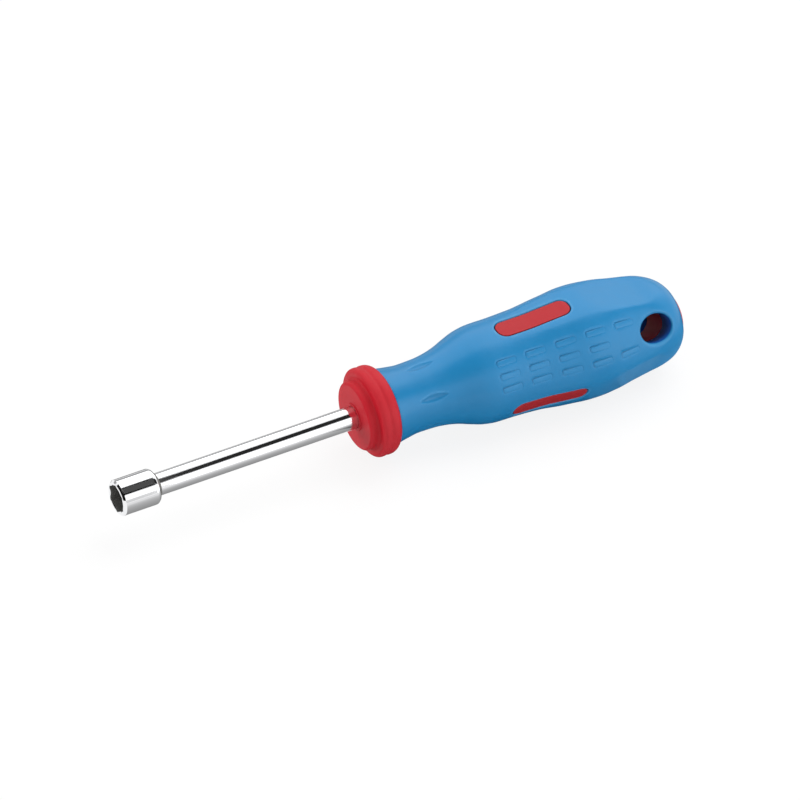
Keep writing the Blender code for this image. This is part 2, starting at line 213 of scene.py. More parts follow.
class NUTDRIVER_PG_handle(bpy.types.PropertyGroup):
    thickness: length("Grip thickness", 3.2, "Thickness of the soft grip over the core")
    window_centre: length("Window centre", 60.8, "Station of the middle of the windows")
    window_length: length("Window length", 24.6, "Length of a window along the handle")
    window_width: length("Window width", 7.4, "Width of a window")
    window_corner: length("Window corner", 3.2, "Corner radius of a window")
    window_rim: length("Window rim", 0.35, "Rounding of the grip's edge round a window")
    land_sink: length("Land sink", 0.15, "How far the red lands lie under the grip's surface")
    hole_centre: length("Hole centre", 96.4, "Station of the hanging hole")
    hole_length: length("Hole length", 11.2, "Length of the hanging hole along the handle")
    hole_width: length("Hole width", 9.4, "Width of the hanging hole")
    hole_turn: angle("Hole turn", 57.5, "Turn of the hanging hole from straight up")
    hole_rim: length("Hole rim", 0.9, "Rounding of the grip's edge round the hole")
    hole_lining: length("Hole lining", 8.5, "Depth to which the soft grip lines the hole")


class NUTDRIVER_PG_tread(bpy.types.PropertyGroup):
    columns: IntProperty(name="Columns", description="Columns of tread pockets on a panel", default=5,
                         min=1)
    first: length("First column", 46.75, "Station of the middle of the first column")
    pitch: length("Column pitch", 9.78, "Distance between two columns")
    row_centre: angle("Middle row", -0.3, "Turn of the middle row from the middle of its panel")
    row_step: angle("Row step", 16.1, "Turn between two rows")
    pocket_length: length("Pocket length", 6.7, "Length of a tread pocket")
    pocket_width: length("Pocket width", 2.05, "Width of a tread pocket")
    pocket_corner: length("Pocket corner", 0.7, "Corner radius of a tread pocket")
    pocket_depth: length("Pocket depth", 0.4, "Depth of a pocket's border groove at its front upper corner")
    wall: length("Pocket wall", 0.26, "Width of the sloping wall round a pocket")
    fall: length("Groove width", 0.22, "Width over which the border groove rises to the pocket's floor")
    floor: share("Floor share", 0.15, "Depth of the pocket's floor as a share of its border groove")
    fade_along: share("Fade along", 0.8, "How much shallower a pocket is at its rear end")
    fade_across: share("Fade across", 0.65, "How much shallower a pocket is at its lower edge")
    dimple_centre: length("Dimple centre", 23.0, "Station of the dimples round the neck")
    dimple_length: length("Dimple length", 9.5, "Length of a dimple")
    dimple_width: length("Dimple width", 2.3, "Width of a dimple")
    dimple_depth: length("Dimple depth", 0.5, "Depth of a dimple")


class NUTDRIVER_PG_finish(bpy.types.PropertyGroup):
    chrome: colour("Chrome", (0.88, 0.885, 0.90), "Reflected colour of the chrome plating")
    recess: colour("Recess", (0.200, 0.200, 0.190), "Colour of the dark steel inside the recess")
    red: colour("Red collar", (0.445, 0.008, 0.018), "Colour of the glossy collar")
    core: colour("Red core", (0.38, 0.010, 0.016), "Colour of the core and end cap")
    blue: colour("Blue grip", (0.002, 0.188, 0.425), "Colour of the soft grip")
    # A darker copy of the grip's blue for deep in the hanging hole: painted shade there
    lining: colour("Hole lining", (0.016, 0.100, 0.380), "Colour of the grip deep in the hanging hole")
    # A lighter copy of the core's red for deep in the hanging hole: painted light there
    bore: colour("Hole middle", (0.400, 0.030, 0.034), "Colour of the core deep in the hanging hole")
    floor: colour("Floor", (0.90, 0.90, 0.90), "Colour of the studio floor")


class NUTDRIVER_PG_stage(bpy.types.PropertyGroup):
    azimuth: angle("Azimuth", -29.4, "Turn of the camera round the tool, from looking along +Y")
    elevation: angle("Elevation", 42.05, "Height of the camera above the horizon")
    roll: angle("Roll", 1.7, "Turn of the camera about its own line of sight")
    aim: length("Aim station", 16.3, "Station that the camera aims at")
    lift: length("Aim lift", 0.36, "How far above the tool's line the camera aims")
    span: length("Frame width", 238.8, "Width of the frame at the tool")
    lens: plain("Lens", 1500.0, "Focal length in millimetres")
    ambient: plain("Ambient", 0.73, "Strength of the surrounding light")
    key: plain("Key", 5.5, "Power of the main lamp in watts")
    fill: plain("Fill", 1.8, "Power of the lamp low on the camera's side in watts")
    end: plain("End", 3.8, "Power of the lamp beyond the socket in watts")
    whiteness: share("Whiteness", 0.85, "How far the floor is lifted to white for the camera")


class NUTDRIVER_PG_tool(bpy.types.PropertyGroup):
    socket: PointerProperty(type=NUTDRIVER_PG_socket)
    collar: PointerProperty(type=NUTDRIVER_PG_collar)
    handle: PointerProperty(type=NUTDRIVER_PG_handle)
    tread: PointerProperty(type=NUTDRIVER_PG_tread)
    finish: PointerProperty(type=NUTDRIVER_PG_finish)
    stage: PointerProperty(type=NUTDRIVER_PG_stage)


# Shape of the handle

def monotone_curve(points, stations):
    """Smooth curve through (station, value) pairs in millimetres, without overshoot, in metres."""
    xs, ys = np.array(points).T * MM
    step = np.diff(xs)
    slope = np.diff(ys) / step
    tangent = np.zeros_like(xs)
    same_way = slope[:-1] * slope[1:] > 0
    total = np.where(same_way, slope[:-1] + slope[1:], 1.0)
    tangent[1:-1] = np.where(same_way, 2.0 * slope[:-1] * slope[1:] / total, 0.0)
    tangent[0] = slope[0]
    tangent[-1] = slope[-1]
    place = np.clip(np.searchsorted(xs, stations) - 1, 0, len(step) - 1)
    t = (stations - xs[place]) / step[place]
    start = (1 + 2 * t) * (1 - t) ** 2 * ys[place] + t * (1 - t) ** 2 * step[place] * tangent[place]
    end = t * t * (3 - 2 * t) * ys[place + 1] + t * t * (t - 1) * step[place] * tangent[place + 1]
    return start + end


def soft_least(surfaces, sharpness):
    """Smaller of some radii, with a rounded change from one to the other."""
    return sum(surface ** -sharpness for surface in surfaces) ** (-1 / sharpness)


def handle_radius(stations, turns):
    """Outer radius of the grip, with one of the three ridges about straight up."""
    flat = monotone_curve(RIDGE_FLATS, stations)
    crown = monotone_curve(PANEL_CROWNS, stations)
    neck = monotone_curve(NECK_RADII, stations)
    from_ridge = np.abs((turns - SECTION_TURN + RIDGE_STEP / 2) % RIDGE_STEP - RIDGE_STEP / 2)
    from_panel = RIDGE_STEP / 2 - from_ridge
    offset = crown - PANEL_ARC_RADIUS
    panel = offset * np.cos(from_panel)
    panel = panel + np.sqrt(PANEL_ARC_RADIUS ** 2 - (offset * np.sin(from_panel)) ** 2)
    sides = soft_least((flat / np.cos(from_ridge), panel), CREASE_SHARPNESS)
    sharpness = np.interp(stations, (SHARPENED_FROM, SHARPENED_TO), (FRONT_SHARPNESS, REAR_SHARPNESS))
    blend = soft_least((neck, sides), sharpness)
    past = np.clip((stations - END_ROUND_START) / (HANDLE_END - END_ROUND_START), 0, 1)
    return blend * (1 - past ** END_ROUND_POWER) ** (1 / END_ROUND_POWER)


def handle_centre(stations):
    """Middle of the handle's sections, as (y, z) from the shaft's line."""
    shift = monotone_curve(LEAN_SHIFTS, np.clip(stations, COLLAR_REAR, HANDLE_END))
    return -shift * math.sin(LEAN_TURN), shift * math.cos(LEAN_TURN)


def centre_at(station):
    """Middle of the handle at one station, as (y, z) from the shaft's line."""
    return tuple(float(part[0]) for part in handle_centre(np.array([station])))


def place_points(stations, turns, radii):
    """World points of a wrapped surface."""
    centre_y, centre_z = handle_centre(stations)
    ys = centre_y - radii * np.sin(turns)
    zs = centre_z + radii * np.cos(turns)
    return np.column_stack([FACE_X + stations, ys, AXIS_Z + zs])


class FlatMap:
    """Unrolls the handle's skin, so that distances on the flat sheet are about those on the skin."""

    SAMPLES = 2000
    MERIDIAN = math.radians(30.0)

    def __init__(self, front, rear):
        self.stations = np.linspace(front, rear, self.SAMPLES)
        radii = handle_radius(self.stations, np.full(self.SAMPLES, self.MERIDIAN))
        steps = np.hypot(np.diff(self.stations), np.diff(radii))
        self.runs = np.concatenate([[0.0], np.cumsum(steps)])

    def flatten(self, stations, turns):
        runs = np.interp(stations, self.stations, self.runs)
        return np.column_stack([runs, turns * FLAT_RADIUS]) / MM

    def row_stations(self, spacing):
        count = max(2, int(round(self.runs[-1] / spacing)) + 1)
        return np.interp(np.linspace(0, self.runs[-1], count), self.runs, self.stations)


def search_tree(points):
    """A tree that finds the nearest of some points; flat points lie at height 0."""
    points = np.asarray(points)
    tree = KDTree(len(points))
    for i, point in enumerate(np.pad(points, ((0, 0), (0, 3 - points.shape[1]))).tolist()):
        tree.insert(point, i)
    tree.balance()
    return tree


def inside(polygon, points):
    """Which flat points lie inside a closed outline."""
    found = np.zeros(len(points), bool)
    x, y = points.T
    for (x0, y0), (x1, y1) in zip(polygon, np.roll(polygon, -1, axis=0)):
        crosses = (y0 > y) != (y1 > y)
        if y0 != y1:
            found ^= crosses & (x < (x1 - x0) * (y - y0) / (y1 - y0) + x0)
    return found


class WrappedSheet:
    """A sheet of triangles wrapped round the handle, with points along the outlines of its features."""

    def __init__(self, front, rear, row_spacing):
        self.flat_map = FlatMap(front, rear)
        self.row_spacing = row_spacing
        self.outlines = []
        self.closed_areas = []

    def add_outline(self, stations, turns, depths):
        """Put a closed row of points on the sheet, sunk by depths, and return its number."""
        turns = (turns - SEAM_TURN) % (2 * math.pi) + SEAM_TURN
        self.outlines.append((stations, turns, np.broadcast_to(depths, stations.shape)))
        return len(self.outlines) - 1

    def clear_inside(self, number, is_opening):
        """Keep the sheet's own grid out of an outline; an opening loses its faces too."""
        self.closed_areas.append((number, is_opening))

    def is_clear(self, flat, outline_flats):
        """Which points of the sheet's own grid keep away from the outlines and the areas they clear."""
        clear = np.ones(len(flat), bool)
        if outline_flats:
            tree = search_tree(np.concatenate(outline_flats))
            clear = np.array([tree.find((p[0], p[1], 0.0))[2] > LOOP_CLEARANCE / MM for p in flat])
        for number, _ in self.closed_areas:
            clear &= ~inside(outline_flats[number], flat)
        return clear

    def triangulate(self, flat, loops, outline_flats):
        """Triangles between flat points, along the loops and outside the openings."""
        edges = [pair for loop in loops for pair in zip(loop, loop[1:] + loop[:1])]
        result = delaunay_2d_cdt([Vector(p) for p in flat], edges, [], 0, FLAT_TOLERANCE)
        origin = [group[0] for group in result[3]]
        faces = np.array([[origin[v] for v in face] for face in result[2]])
        for number, is_opening in self.closed_areas:
            if is_opening:
                faces = faces[~inside(outline_flats[number], flat[faces].mean(axis=1))]
        return faces

    def build(self, radius_of, draft):
        """Add the sheet to a draft; returns its front ring, rear ring and outlines as point numbers."""
        rows = self.flat_map.row_stations(self.row_spacing)
        columns = np.linspace(SEAM_TURN, SEAM_TURN + 2 * math.pi, RING_STEPS + 1)
        turns, stations = (grid.ravel() for grid in np.meshgrid(columns, rows))
        flat = self.flat_map.flatten(stations, turns)
        outline_flats = [self.flat_map.flatten(o[0], o[1]) for o in self.outlines]
        free = self.is_clear(flat, outline_flats)
        free |= (stations == rows[0]) | (stations == rows[-1])
        all_stations = np.concatenate([stations[free]] + [o[0] for o in self.outlines])
        all_turns = np.concatenate([turns[free]] + [o[1] for o in self.outlines])
        all_depths = np.concatenate([np.zeros(free.sum())] + [o[2] for o in self.outlines])
        all_flat = np.concatenate([flat[free]] + outline_flats)
        starts = free.sum() + np.cumsum([0] + [len(o) for o in outline_flats])
        loops = [list(range(a, b)) for a, b in zip(starts[:-1], starts[1:])]
        faces = self.triangulate(all_flat, loops, outline_flats)
        radii = radius_of(all_stations, all_turns) - all_depths
        first = draft.add_points(place_points(all_stations, all_turns, radii))
        draft.faces += [tuple(int(v) + first for v in face) for face in faces]
        grid_place = first + np.cumsum(free) - 1
        last_row = (len(rows) - 1) * (RING_STEPS + 1)
        front_ring = grid_place[:RING_STEPS].tolist()
        rear_ring = grid_place[last_row:last_row + RING_STEPS].tolist()
        return front_ring, rear_ring, [[first + v for v in loop] for loop in loops]


# Meshes

class Draft:
    """Points and faces of one piece on the way to a mesh."""

    def __init__(self):
        self.blocks = []
        self.count = 0
        self.faces = []
        self.dark_faces = set()

    def add_points(self, points):
        start = self.count
        self.blocks.append(np.asarray(points, float))
        self.count += len(points)
        return start

    def add_ring(self, points):
        start = self.add_points(points)
        return list(range(start, start + len(points)))

    def skin(self, rings):
        """Join neighbouring rings of equal count with quads; returns the faces' numbers."""
        first = len(self.faces)
        for here, there in zip(rings[:-1], rings[1:]):
            count = len(here)
            for i in range(count):
                j = (i + 1) % count
                self.faces.append((here[i], here[j], there[j], there[i]))
        return range(first, len(self.faces))

    def cap(self, ring, centre):
        """Close a ring with a fan to one point."""
        middle = self.add_points([centre])
        for i, vertex in enumerate(ring):
            self.faces.append((vertex, ring[(i + 1) % len(ring)], middle))

    def finish(self, name, materials):
        """Merge doubles, turn the faces outwards and make the object."""
        mesh = bpy.data.meshes.new(name)
        mesh.from_pydata(np.concatenate(self.blocks).tolist(), [], self.faces)
        slots = [int(i in self.dark_faces) for i in range(len(self.faces))]
        mesh.polygons.foreach_set("material_index", slots)
        shell = bmesh.new()
        shell.from_mesh(mesh)
        bmesh.ops.remove_doubles(shell, verts=shell.verts, dist=MERGE_DISTANCE)
        bmesh.ops.recalc_face_normals(shell, faces=shell.faces)
        shell.to_mesh(mesh)
        shell.free()
        mesh.shade_smooth()
        mesh.set_sharp_from_angle(angle=SHARP_EDGE)
        for material in materials:
            mesh.materials.append(material)
        item = bpy.data.objects.new(name, mesh)
        bpy.context.scene.collection.objects.link(item)
        return item


def arc(centre, radius, start_degrees, end_degrees):
    """Points of an arc in the (station, radius) plane; 0 degrees points to the butt, 90 outward."""
    angles = np.radians(np.linspace(start_degrees, end_degrees, ARC_STEPS + 1))
    return [(centre[0] + radius * math.cos(a), centre[1] + radius * math.sin(a)) for a in angles]


def braced(profile):
    """Add a point near both ends of each long straight, so that smooth shading leaves it straight."""
    points = [profile[0]]
    for here, there in zip(profile[:-1], profile[1:]):
        run = math.dist(here, there)
        if run > 3 * BRACE:
            for part in (BRACE / run, 1 - BRACE / run):
                points.append((here[0] + (there[0] - here[0]) * part,
                               here[1] + (there[1] - here[1]) * part))
        points.append(there)
    return points


def lathe_ring(draft, station, radius, centre=(0.0, 0.0), start=0.0):
    """A round or shaped ring across the tool; radius may be one number or one for each step."""
    turns = start + np.arange(RING_STEPS) * 2 * math.pi / RING_STEPS
    xs = np.broadcast_to(FACE_X + np.asarray(station), turns.shape)
    ys = centre[0] - radius * np.sin(turns)
    zs = AXIS_Z + centre[1] + radius * np.cos(turns)
    return draft.add_ring(np.column_stack([xs, ys, zs]))


def wrapped_ring(draft, station, radius):
    """A ring across the leaning handle, in step with a sheet's columns."""
    return draft.add_ring(place_points(np.full(RING_STEPS, station), RING_TURNS, radius))


def lathe(draft, profile, is_loop, centre=(0.0, 0.0)):
    """Turn (station, radius) points about the tool; an open profile starts and ends on its line."""
    rings = [lathe_ring(draft, station, radius, centre) for station, radius in profile if radius > 0]
    if is_loop:
        draft.skin(rings + rings[:1])
        return rings
    draft.skin(rings)
    for ring, (station, _) in ((rings[0], profile[0]), (rings[-1], profile[-1])):
        draft.cap(ring, (FACE_X + station, centre[0], AXIS_Z + centre[1]))
    return rings


def rectangle(first, second):
    """Corners of a rectangle between two pairs of limits, going round it."""
    return [(first[0], second[0]), (first[1], second[0]), (first[1], second[1]), (first[0], second[1])]


def rounded_outline(length_along, width, corner, grow):
    """Outline of a rounded rectangle, grown by an offset, as (along, across) points."""
    half_long = length_along / 2 - corner
    half_wide = width / 2 - corner
    reach = corner + grow
    corner_steps = max(3, int(round(reach * math.pi / 2 / LOOP_STEP)) + 2)
    points = []
    for quarter in range(4):
        along_sign = (1, -1, -1, 1)[quarter]
        across_sign = (1, 1, -1, -1)[quarter]
        for a in np.linspace(0, math.pi / 2, corner_steps) + quarter * math.pi / 2:
            points.append((along_sign * half_long + reach * math.cos(a),
                           across_sign * half_wide + reach * math.sin(a)))
    return fill_outline(np.array(points))


def fill_outline(points):
    """Add points along the long sides of an outline."""
    filled = []
    for here, there in zip(points, np.roll(points, -1, axis=0)):
        steps = max(1, int(np.hypot(*(there - here)) / LOOP_STEP))
        filled += [here + (there - here) * i / steps for i in range(steps)]
    return np.array(filled)


def rim_profile(radius):
    """(offset, depth) pairs of a rounded rim, from the surface to the wall."""
    angles = np.linspace(0, math.pi / 2, RIM_STEPS + 1)
    return [(radius * (1 - math.sin(a)), radius * (1 - math.cos(a))) for a in angles]


def window_places(handle, window, outline):
    """Stations and turns of an outline that is cut straight down into a ridge."""
    turn, shift = window
    stations = handle.window_centre + shift + outline[:, 0]
    flat = handle_radius(stations, np.full(len(stations), turn))
    return stations, turn + np.arctan2(outline[:, 1], flat)


def window_rim(handle, window, grow):
    """Stations and turns of a window's outline, grown by an offset."""
    outline = rounded_outline(handle.window_length, handle.window_width, handle.window_corner, grow)
    return window_places(handle, window, outline)


def hole_outline(handle, grow):
    count = 2 * int(math.pi * (handle.hole_length + handle.hole_width) / 4 / LOOP_STEP)
    angles = np.arange(count) * 2 * math.pi / count
    return np.column_stack([(handle.hole_length / 2 + grow) * np.cos(angles),
                            (handle.hole_width / 2 + grow) * np.sin(angles)])


def mouth_turn(handle, side):
    return handle.hole_turn + (math.pi if side < 0 else 0.0)


def mouth_reach(handle, side):
    """Distance of a mouth of the hanging hole from the handle's middle."""
    return float(handle_radius(np.array([handle.hole_centre]), np.array([mouth_turn(handle, side)]))[0])


def hole_axes(handle, side):
    """Across and outward directions of the hanging hole's mouth, as (y, z)."""
    turn = mouth_turn(handle, side)
    across = np.array([-math.cos(handle.hole_turn), -math.sin(handle.hole_turn)])
    outward = np.array([-math.sin(turn), math.cos(turn)])
    return across, outward


def hole_places(handle, side, grow, radius_of):
    """Stations and turns where the straight hanging hole, grown by an offset, meets a wrapped surface."""
    outline = hole_outline(handle, grow)
    across, outward = hole_axes(handle, side)
    stations = handle.hole_centre + outline[:, 0]
    centres = np.column_stack(handle_centre(stations))
    sideways = (centre_at(handle.hole_centre) - centres) @ across + outline[:, 1]
    reach = np.full(len(stations), handle.hole_length)
    for _ in range(HOLE_ROUNDS):
        points = sideways[:, None] * across + reach[:, None] * outward
        turns = np.arctan2(-points[:, 0], points[:, 1])
        reach = np.sqrt(np.maximum(radius_of(stations, turns) ** 2 - sideways ** 2, 0.0))
    return stations, turns


def hole_ring(draft, handle, side, grow, distance):
    """Ring of the hanging hole, grown by an offset, at a distance from the handle's middle."""
    outline = hole_outline(handle, grow)
    across, outward = hole_axes(handle, side)
    points = centre_at(handle.hole_centre) + outline[:, 1:2] * across + distance * outward
    xs = FACE_X + handle.hole_centre + outline[:, 0]
    return draft.add_ring(np.column_stack([xs, points[:, 0], AXIS_Z + points[:, 1]]))


# Finishes

class Wire:
    """A node's output in a formula; working with it adds Math nodes to its tree."""

    def __init__(self, node, output=0):
        self.tree = node.id_data
        self.socket = node.outputs[output]

    def math(self, operation, *values):
        return Wire(add_node(self.tree, "ShaderNodeMath", enumerate((self, *values)), operation=operation))

    def __add__(self, other):
        return self.math("ADD", other)

    def __sub__(self, other):
        return self.math("SUBTRACT", other)

    def __rsub__(self, other):
        return Wire(add_node(self.tree, "ShaderNodeMath", enumerate((other, self)), operation="SUBTRACT"))

    def __mul__(self, other):
        return self.math("MULTIPLY", other)

    def __truediv__(self, other):
        return self.math("DIVIDE", other)

    def __mod__(self, other):
        return self.math("FLOORED_MODULO", other)

    def __pow__(self, other):
        return self.math("POWER", other)

    def __neg__(self):
        return self.math("MULTIPLY", -1.0)

    def __abs__(self):
        return self.math("ABSOLUTE")

    def at_least(self, other):
        return self.math("MAXIMUM", other)

    def at_most(self, other):
        return self.math("MINIMUM", other)


def feed(target, value):
    """Link a wire to an input, or set the input's own value."""
    if isinstance(value, Wire):
        value.tree.links.new(value.socket, target)
    else:
        target.default_value = value


def add_node(tree, kind, inputs=(), **settings):
    """A new node with its settings made, and its inputs, by name or number, linked or set."""
    node = tree.nodes.new(kind)
    for name, value in settings.items():
        setattr(node, name, value)
    for key, value in dict(inputs).items():
        feed(node.inputs[key], value)
    return node


def spread(value, low, high, new_low, new_high, smooth=False):
    """A wire's range, mapped to another range."""
    kind = "SMOOTHSTEP" if smooth else "LINEAR"
    parts = enumerate((value, low, high, new_low, new_high))
    return Wire(add_node(value.tree, "ShaderNodeMapRange", parts, interpolation_type=kind))


def noise(place, scale, detail, roughness):
    inputs = {"Vector": place, "Scale": scale, "Detail": detail, "Roughness": roughness}
    return Wire(add_node(place.tree, "ShaderNodeTexNoise", inputs), "Fac")


def mix_colours(factor, first, second):
    inputs = {"Factor": factor, "A": first, "B": second}
    return Wire(add_node(factor.tree, "ShaderNodeMix", inputs, data_type="RGBA"), "Result")


def group_ends(tree):
    """A group's inputs as wires, by name, and the sockets of its output node."""
    start = tree.nodes.new("NodeGroupInput")
    given = {socket.name: Wire(start, socket.name) for socket in start.outputs if socket.name}
    return given, tree.nodes.new("NodeGroupOutput").inputs


def new_group(name, inputs, outputs):
    """A shader node group with named sockets; returns its tree and its ends."""
    tree = bpy.data.node_groups.new(name, "ShaderNodeTree")

    def add_socket(label, way):
        kind = "NodeSocketColor" if label in ("Colour", "Tint") else "NodeSocketFloat"
        return tree.interface.new_socket(name=label, in_out=way, socket_type=kind)

    for label, value in inputs.items():
        add_socket(label, "INPUT").default_value = value
    for label in outputs:
        add_socket(label, "OUTPUT")
    return tree, *group_ends(tree)


def object_place(tree):
    return Wire(add_node(tree, "ShaderNodeTexCoord"), "Object")


def mottle_group():
    """Slight cloudiness of a moulded or plated surface: a colour and a mask that vary over it."""
    sizes = {"Colour": GREY, "Scale": 60.0, "Amount": 0.1}
    tree, given, out = new_group("Moulded cloudiness", sizes, ("Colour", "Mask"))
    place = object_place(tree)
    broad = noise(place, given["Scale"], 3.0, 0.55)
    fine = noise(place, given["Scale"] * 9.0, 2.0, 0.5)
    mask = broad * 0.7 + fine * 0.3
    level = (mask - 0.5) * given["Amount"] * 2.0 + 1.0
    scaled = add_node(tree, "ShaderNodeVectorMath", {0: given["Colour"], "Scale": level}, operation="SCALE")
    feed(out["Colour"], Wire(scaled))
    feed(out["Mask"], mask)


def tint_group():
    """Patchy tint where a mask says so: rubbed edges, painted shade in a groove, a painted highlight beside
    it.
    """
    sizes = {"Colour": GREY, "Where": 0.0, "Tint": GREY, "Amount": 0.2}
    tree, given, out = new_group("Patchy tint", sizes, ("Colour", "Mask"))
    patchy = spread(noise(object_place(tree), 420.0, 2.0, 0.6), 0.3, 0.7, 0.55, 1.0)
    mask = given["Where"] * patchy * given["Amount"]
    feed(out["Colour"], mix_colours(mask, given["Colour"], given["Tint"]))
    feed(out["Mask"], mask)


def turned_group():
    """Rings round the tool's line, as a lathe or a mould's flow leaves them: a height and a mask."""
    tree, given, out = new_group("Turning lines", {"Scale": 900.0}, ("Height", "Mask"))
    split = add_node(tree, "ShaderNodeSeparateXYZ", {0: object_place(tree)})
    across = Wire(split, "Y")
    rise = Wire(split, "Z") - AXIS_Z
    outward = (across ** 2.0 + rise ** 2.0).math("SQRT")
    around = across.math("ARCTAN2", rise) * RING_DRIFT
    rings = add_node(tree, "ShaderNodeCombineXYZ", {"X": Wire(split, "X"), "Y": outward, "Z": around})
    height = noise(Wire(rings), given["Scale"], 3.0, 0.6)
    feed(out["Height"], height)
    feed(out["Mask"], spread(height, 0.35, 0.65, 0.0, 1.0))


def grain_group():
    """Fine spark-eroded grain of a moulded soft grip: a height."""
    tree, given, out = new_group("Mould grain", {"Scale": 2500.0}, ("Height",))
    place = object_place(tree)
    small = noise(place, given["Scale"], 2.0, 0.6)
    large = noise(place, given["Scale"] * 0.22, 2.0, 0.5)
    feed(out["Height"], large * 0.6 + small)


def place_group(tree, name, **values):
    """Put a shader group in a material; returns its outputs as wires, by name."""
    node = add_node(tree, "ShaderNodeGroup", values, node_tree=bpy.data.node_groups[name])
    return {socket.name: Wire(node, socket.name) for socket in node.outputs}


def stored_mask(tree, name):
    return Wire(add_node(tree, "ShaderNodeAttribute", attribute_name=name), "Fac")


def opaque(values):
    return (*values, 1.0)


def cloudy_finish(name, shade, scale, amount, roughness, shine):
    """A material with a slightly cloudy colour and roughness; returns it, its shader and its colour.

    roughness gives a range of the cloud's mask and the range of roughness that it stands for.
    """
    material = bpy.data.materials.new(name)
    material.use_nodes = True
    tree = material.node_tree
    shader = tree.nodes["Principled BSDF"]
    cloud = place_group(tree, "Moulded cloudiness", Colour=opaque(shade), Scale=scale, Amount=amount)
    feed(shader.inputs["Base Color"], cloud["Colour"])
    feed(shader.inputs["Roughness"], spread(cloud["Mask"], *roughness))
    for label, value in shine.items():
        feed(shader.inputs[label], value)
    return material, shader, cloud["Colour"]


def bump(shader, height, strength, distance):
    inputs = {"Height": height, "Strength": strength, "Distance": distance}
    feed(shader.inputs["Normal"], Wire(add_node(height.tree, "ShaderNodeBump", inputs)))


def chrome_finish(name, shade):
    material, shader, _ = cloudy_finish(name, shade, scale=90.0, amount=0.03,
                                        roughness=(0.35, 0.7, 0.045, 0.10), shine={"Metallic": 1.0})
    lines = place_group(material.node_tree, "Turning lines", Scale=2600.0)
    bump(shader, lines["Height"], strength=0.04, distance=0.02 * MM)
    return material


def recess_finish(name, shade):
    """Rough dark steel inside the socket, also laid on its rear slope and round the shaft as painted shade
    at their joint.
    """
    return cloudy_finish(name, shade, scale=260.0, amount=0.35, roughness=(0.3, 0.7, 0.45, 0.65),
                         shine={"Metallic": 0.6})[0]


def shaded_finish(name, shade):
    """Rough, dull copy of a plastic, recoloured for deep inside a hole: painted shade on the grip's lining,
    painted light on the core's wall.
    """
    return cloudy_finish(name, shade, scale=120.0, amount=0.2, roughness=(0.3, 0.7, 0.45, 0.6),
                         shine={"Specular IOR Level": 0.1})[0]


def red_finish(name, shade, streaks, specular):
    """Moulded red plastic; streaks is the strength of the flow rings round the tool."""
    material, shader, cloudy = cloudy_finish(name, shade, scale=70.0, amount=0.10,
                                             roughness=(0.3, 0.7, 0.42, 0.54),
                                             shine={"Specular IOR Level": specular})
    tree = material.node_tree
    lines = place_group(tree, "Turning lines", Scale=520.0)
    lighter = [min(1.0, part * 1.15 + 0.006) for part in shade]
    streaked = mix_colours(lines["Mask"] * streaks, cloudy, opaque(lighter))
    rubbed = place_group(tree, "Patchy tint", Colour=streaked, Where=stored_mask(tree, "edge"),
                         Tint=RUBBED_RED, Amount=0.12)
    feed(shader.inputs["Base Color"], rubbed["Colour"])
    bump(shader, lines["Height"], strength=0.25 * streaks, distance=0.1 * MM)
    return material


def blue_finish(name, shade):
    """Satin soft grip with painted shade in its grooves, painted highlights beside them, and rims lightened
    partly as rubbed wear and partly as a painted highlight.
    """
    material, shader, tone = cloudy_finish(name, shade, scale=55.0, amount=0.09,
                                           roughness=(0.3, 0.7, 0.28, 0.38),
                                           shine={"Specular IOR Level": 0.42})
    tree = material.node_tree
    for mask, tint, amount in BLUE_TINTS:
        tone = place_group(tree, "Patchy tint", Colour=tone, Where=stored_mask(tree, mask), Tint=tint,
                           Amount=amount)["Colour"]
    feed(shader.inputs["Base Color"], tone)
    grain = place_group(tree, "Mould grain", Scale=2600.0)
    bump(shader, grain["Height"], strength=0.18, distance=0.06 * MM)
    return material


FINISH_GROUPS = (mottle_group, tint_group, turned_group, grain_group)


def finish_named(name, make, *values):
    """The finish of that name, made on its first use."""
    if "Moulded cloudiness" not in bpy.data.node_groups:
        for build in FINISH_GROUPS:
            build()
    return bpy.data.materials.get(name) or make(name, *values)


def chrome_finishes(finish):
    """Plating for what is seen, and dark steel for what lies inside and for the painted shade where the
    socket meets the shaft.
    """
    return [finish_named("Chrome plating", chrome_finish, finish.chrome),
            finish_named("Dark recess steel", recess_finish, finish.recess)]


def core_finish(finish):
    return finish_named("Red core plastic", red_finish, finish.core, CORE_STREAKS, CORE_SPECULAR)


def seat(item, slot, *nodes):
    """Tie a finished piece to the CAD frame."""
    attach(item, BODY)
    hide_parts(*nodes)


def store(mesh, name, values):
    mesh.attributes.new(name, "FLOAT", "POINT").data.foreach_set("value", np.asarray(values, np.float32))


def mark_edges(item, rims, reach):
    """Store how close each point lies to the rims, as a mask for rubbed edges; on the grip it also lightens
    the rims as a painted highlight.
    """
    tree = search_tree(rims)
    store(item.data, "edge", [max(0.0, 1.0 - tree.find(v.co)[2] / reach) for v in item.data.vertices])


# Tread pockets and neck dimples

def relief_values(tread):
    """The tread's sizes by their labels, which are also the names of the relief tree's inputs."""
    return {tread.bl_rna.properties[key].name: getattr(tread, key) for key in type(tread).__annotations__}


def stored_value(tree, name):
    node = add_node(tree, "GeometryNodeInputNamedAttribute", {"Name": name}, data_type="FLOAT")
    return Wire(node, "Attribute")


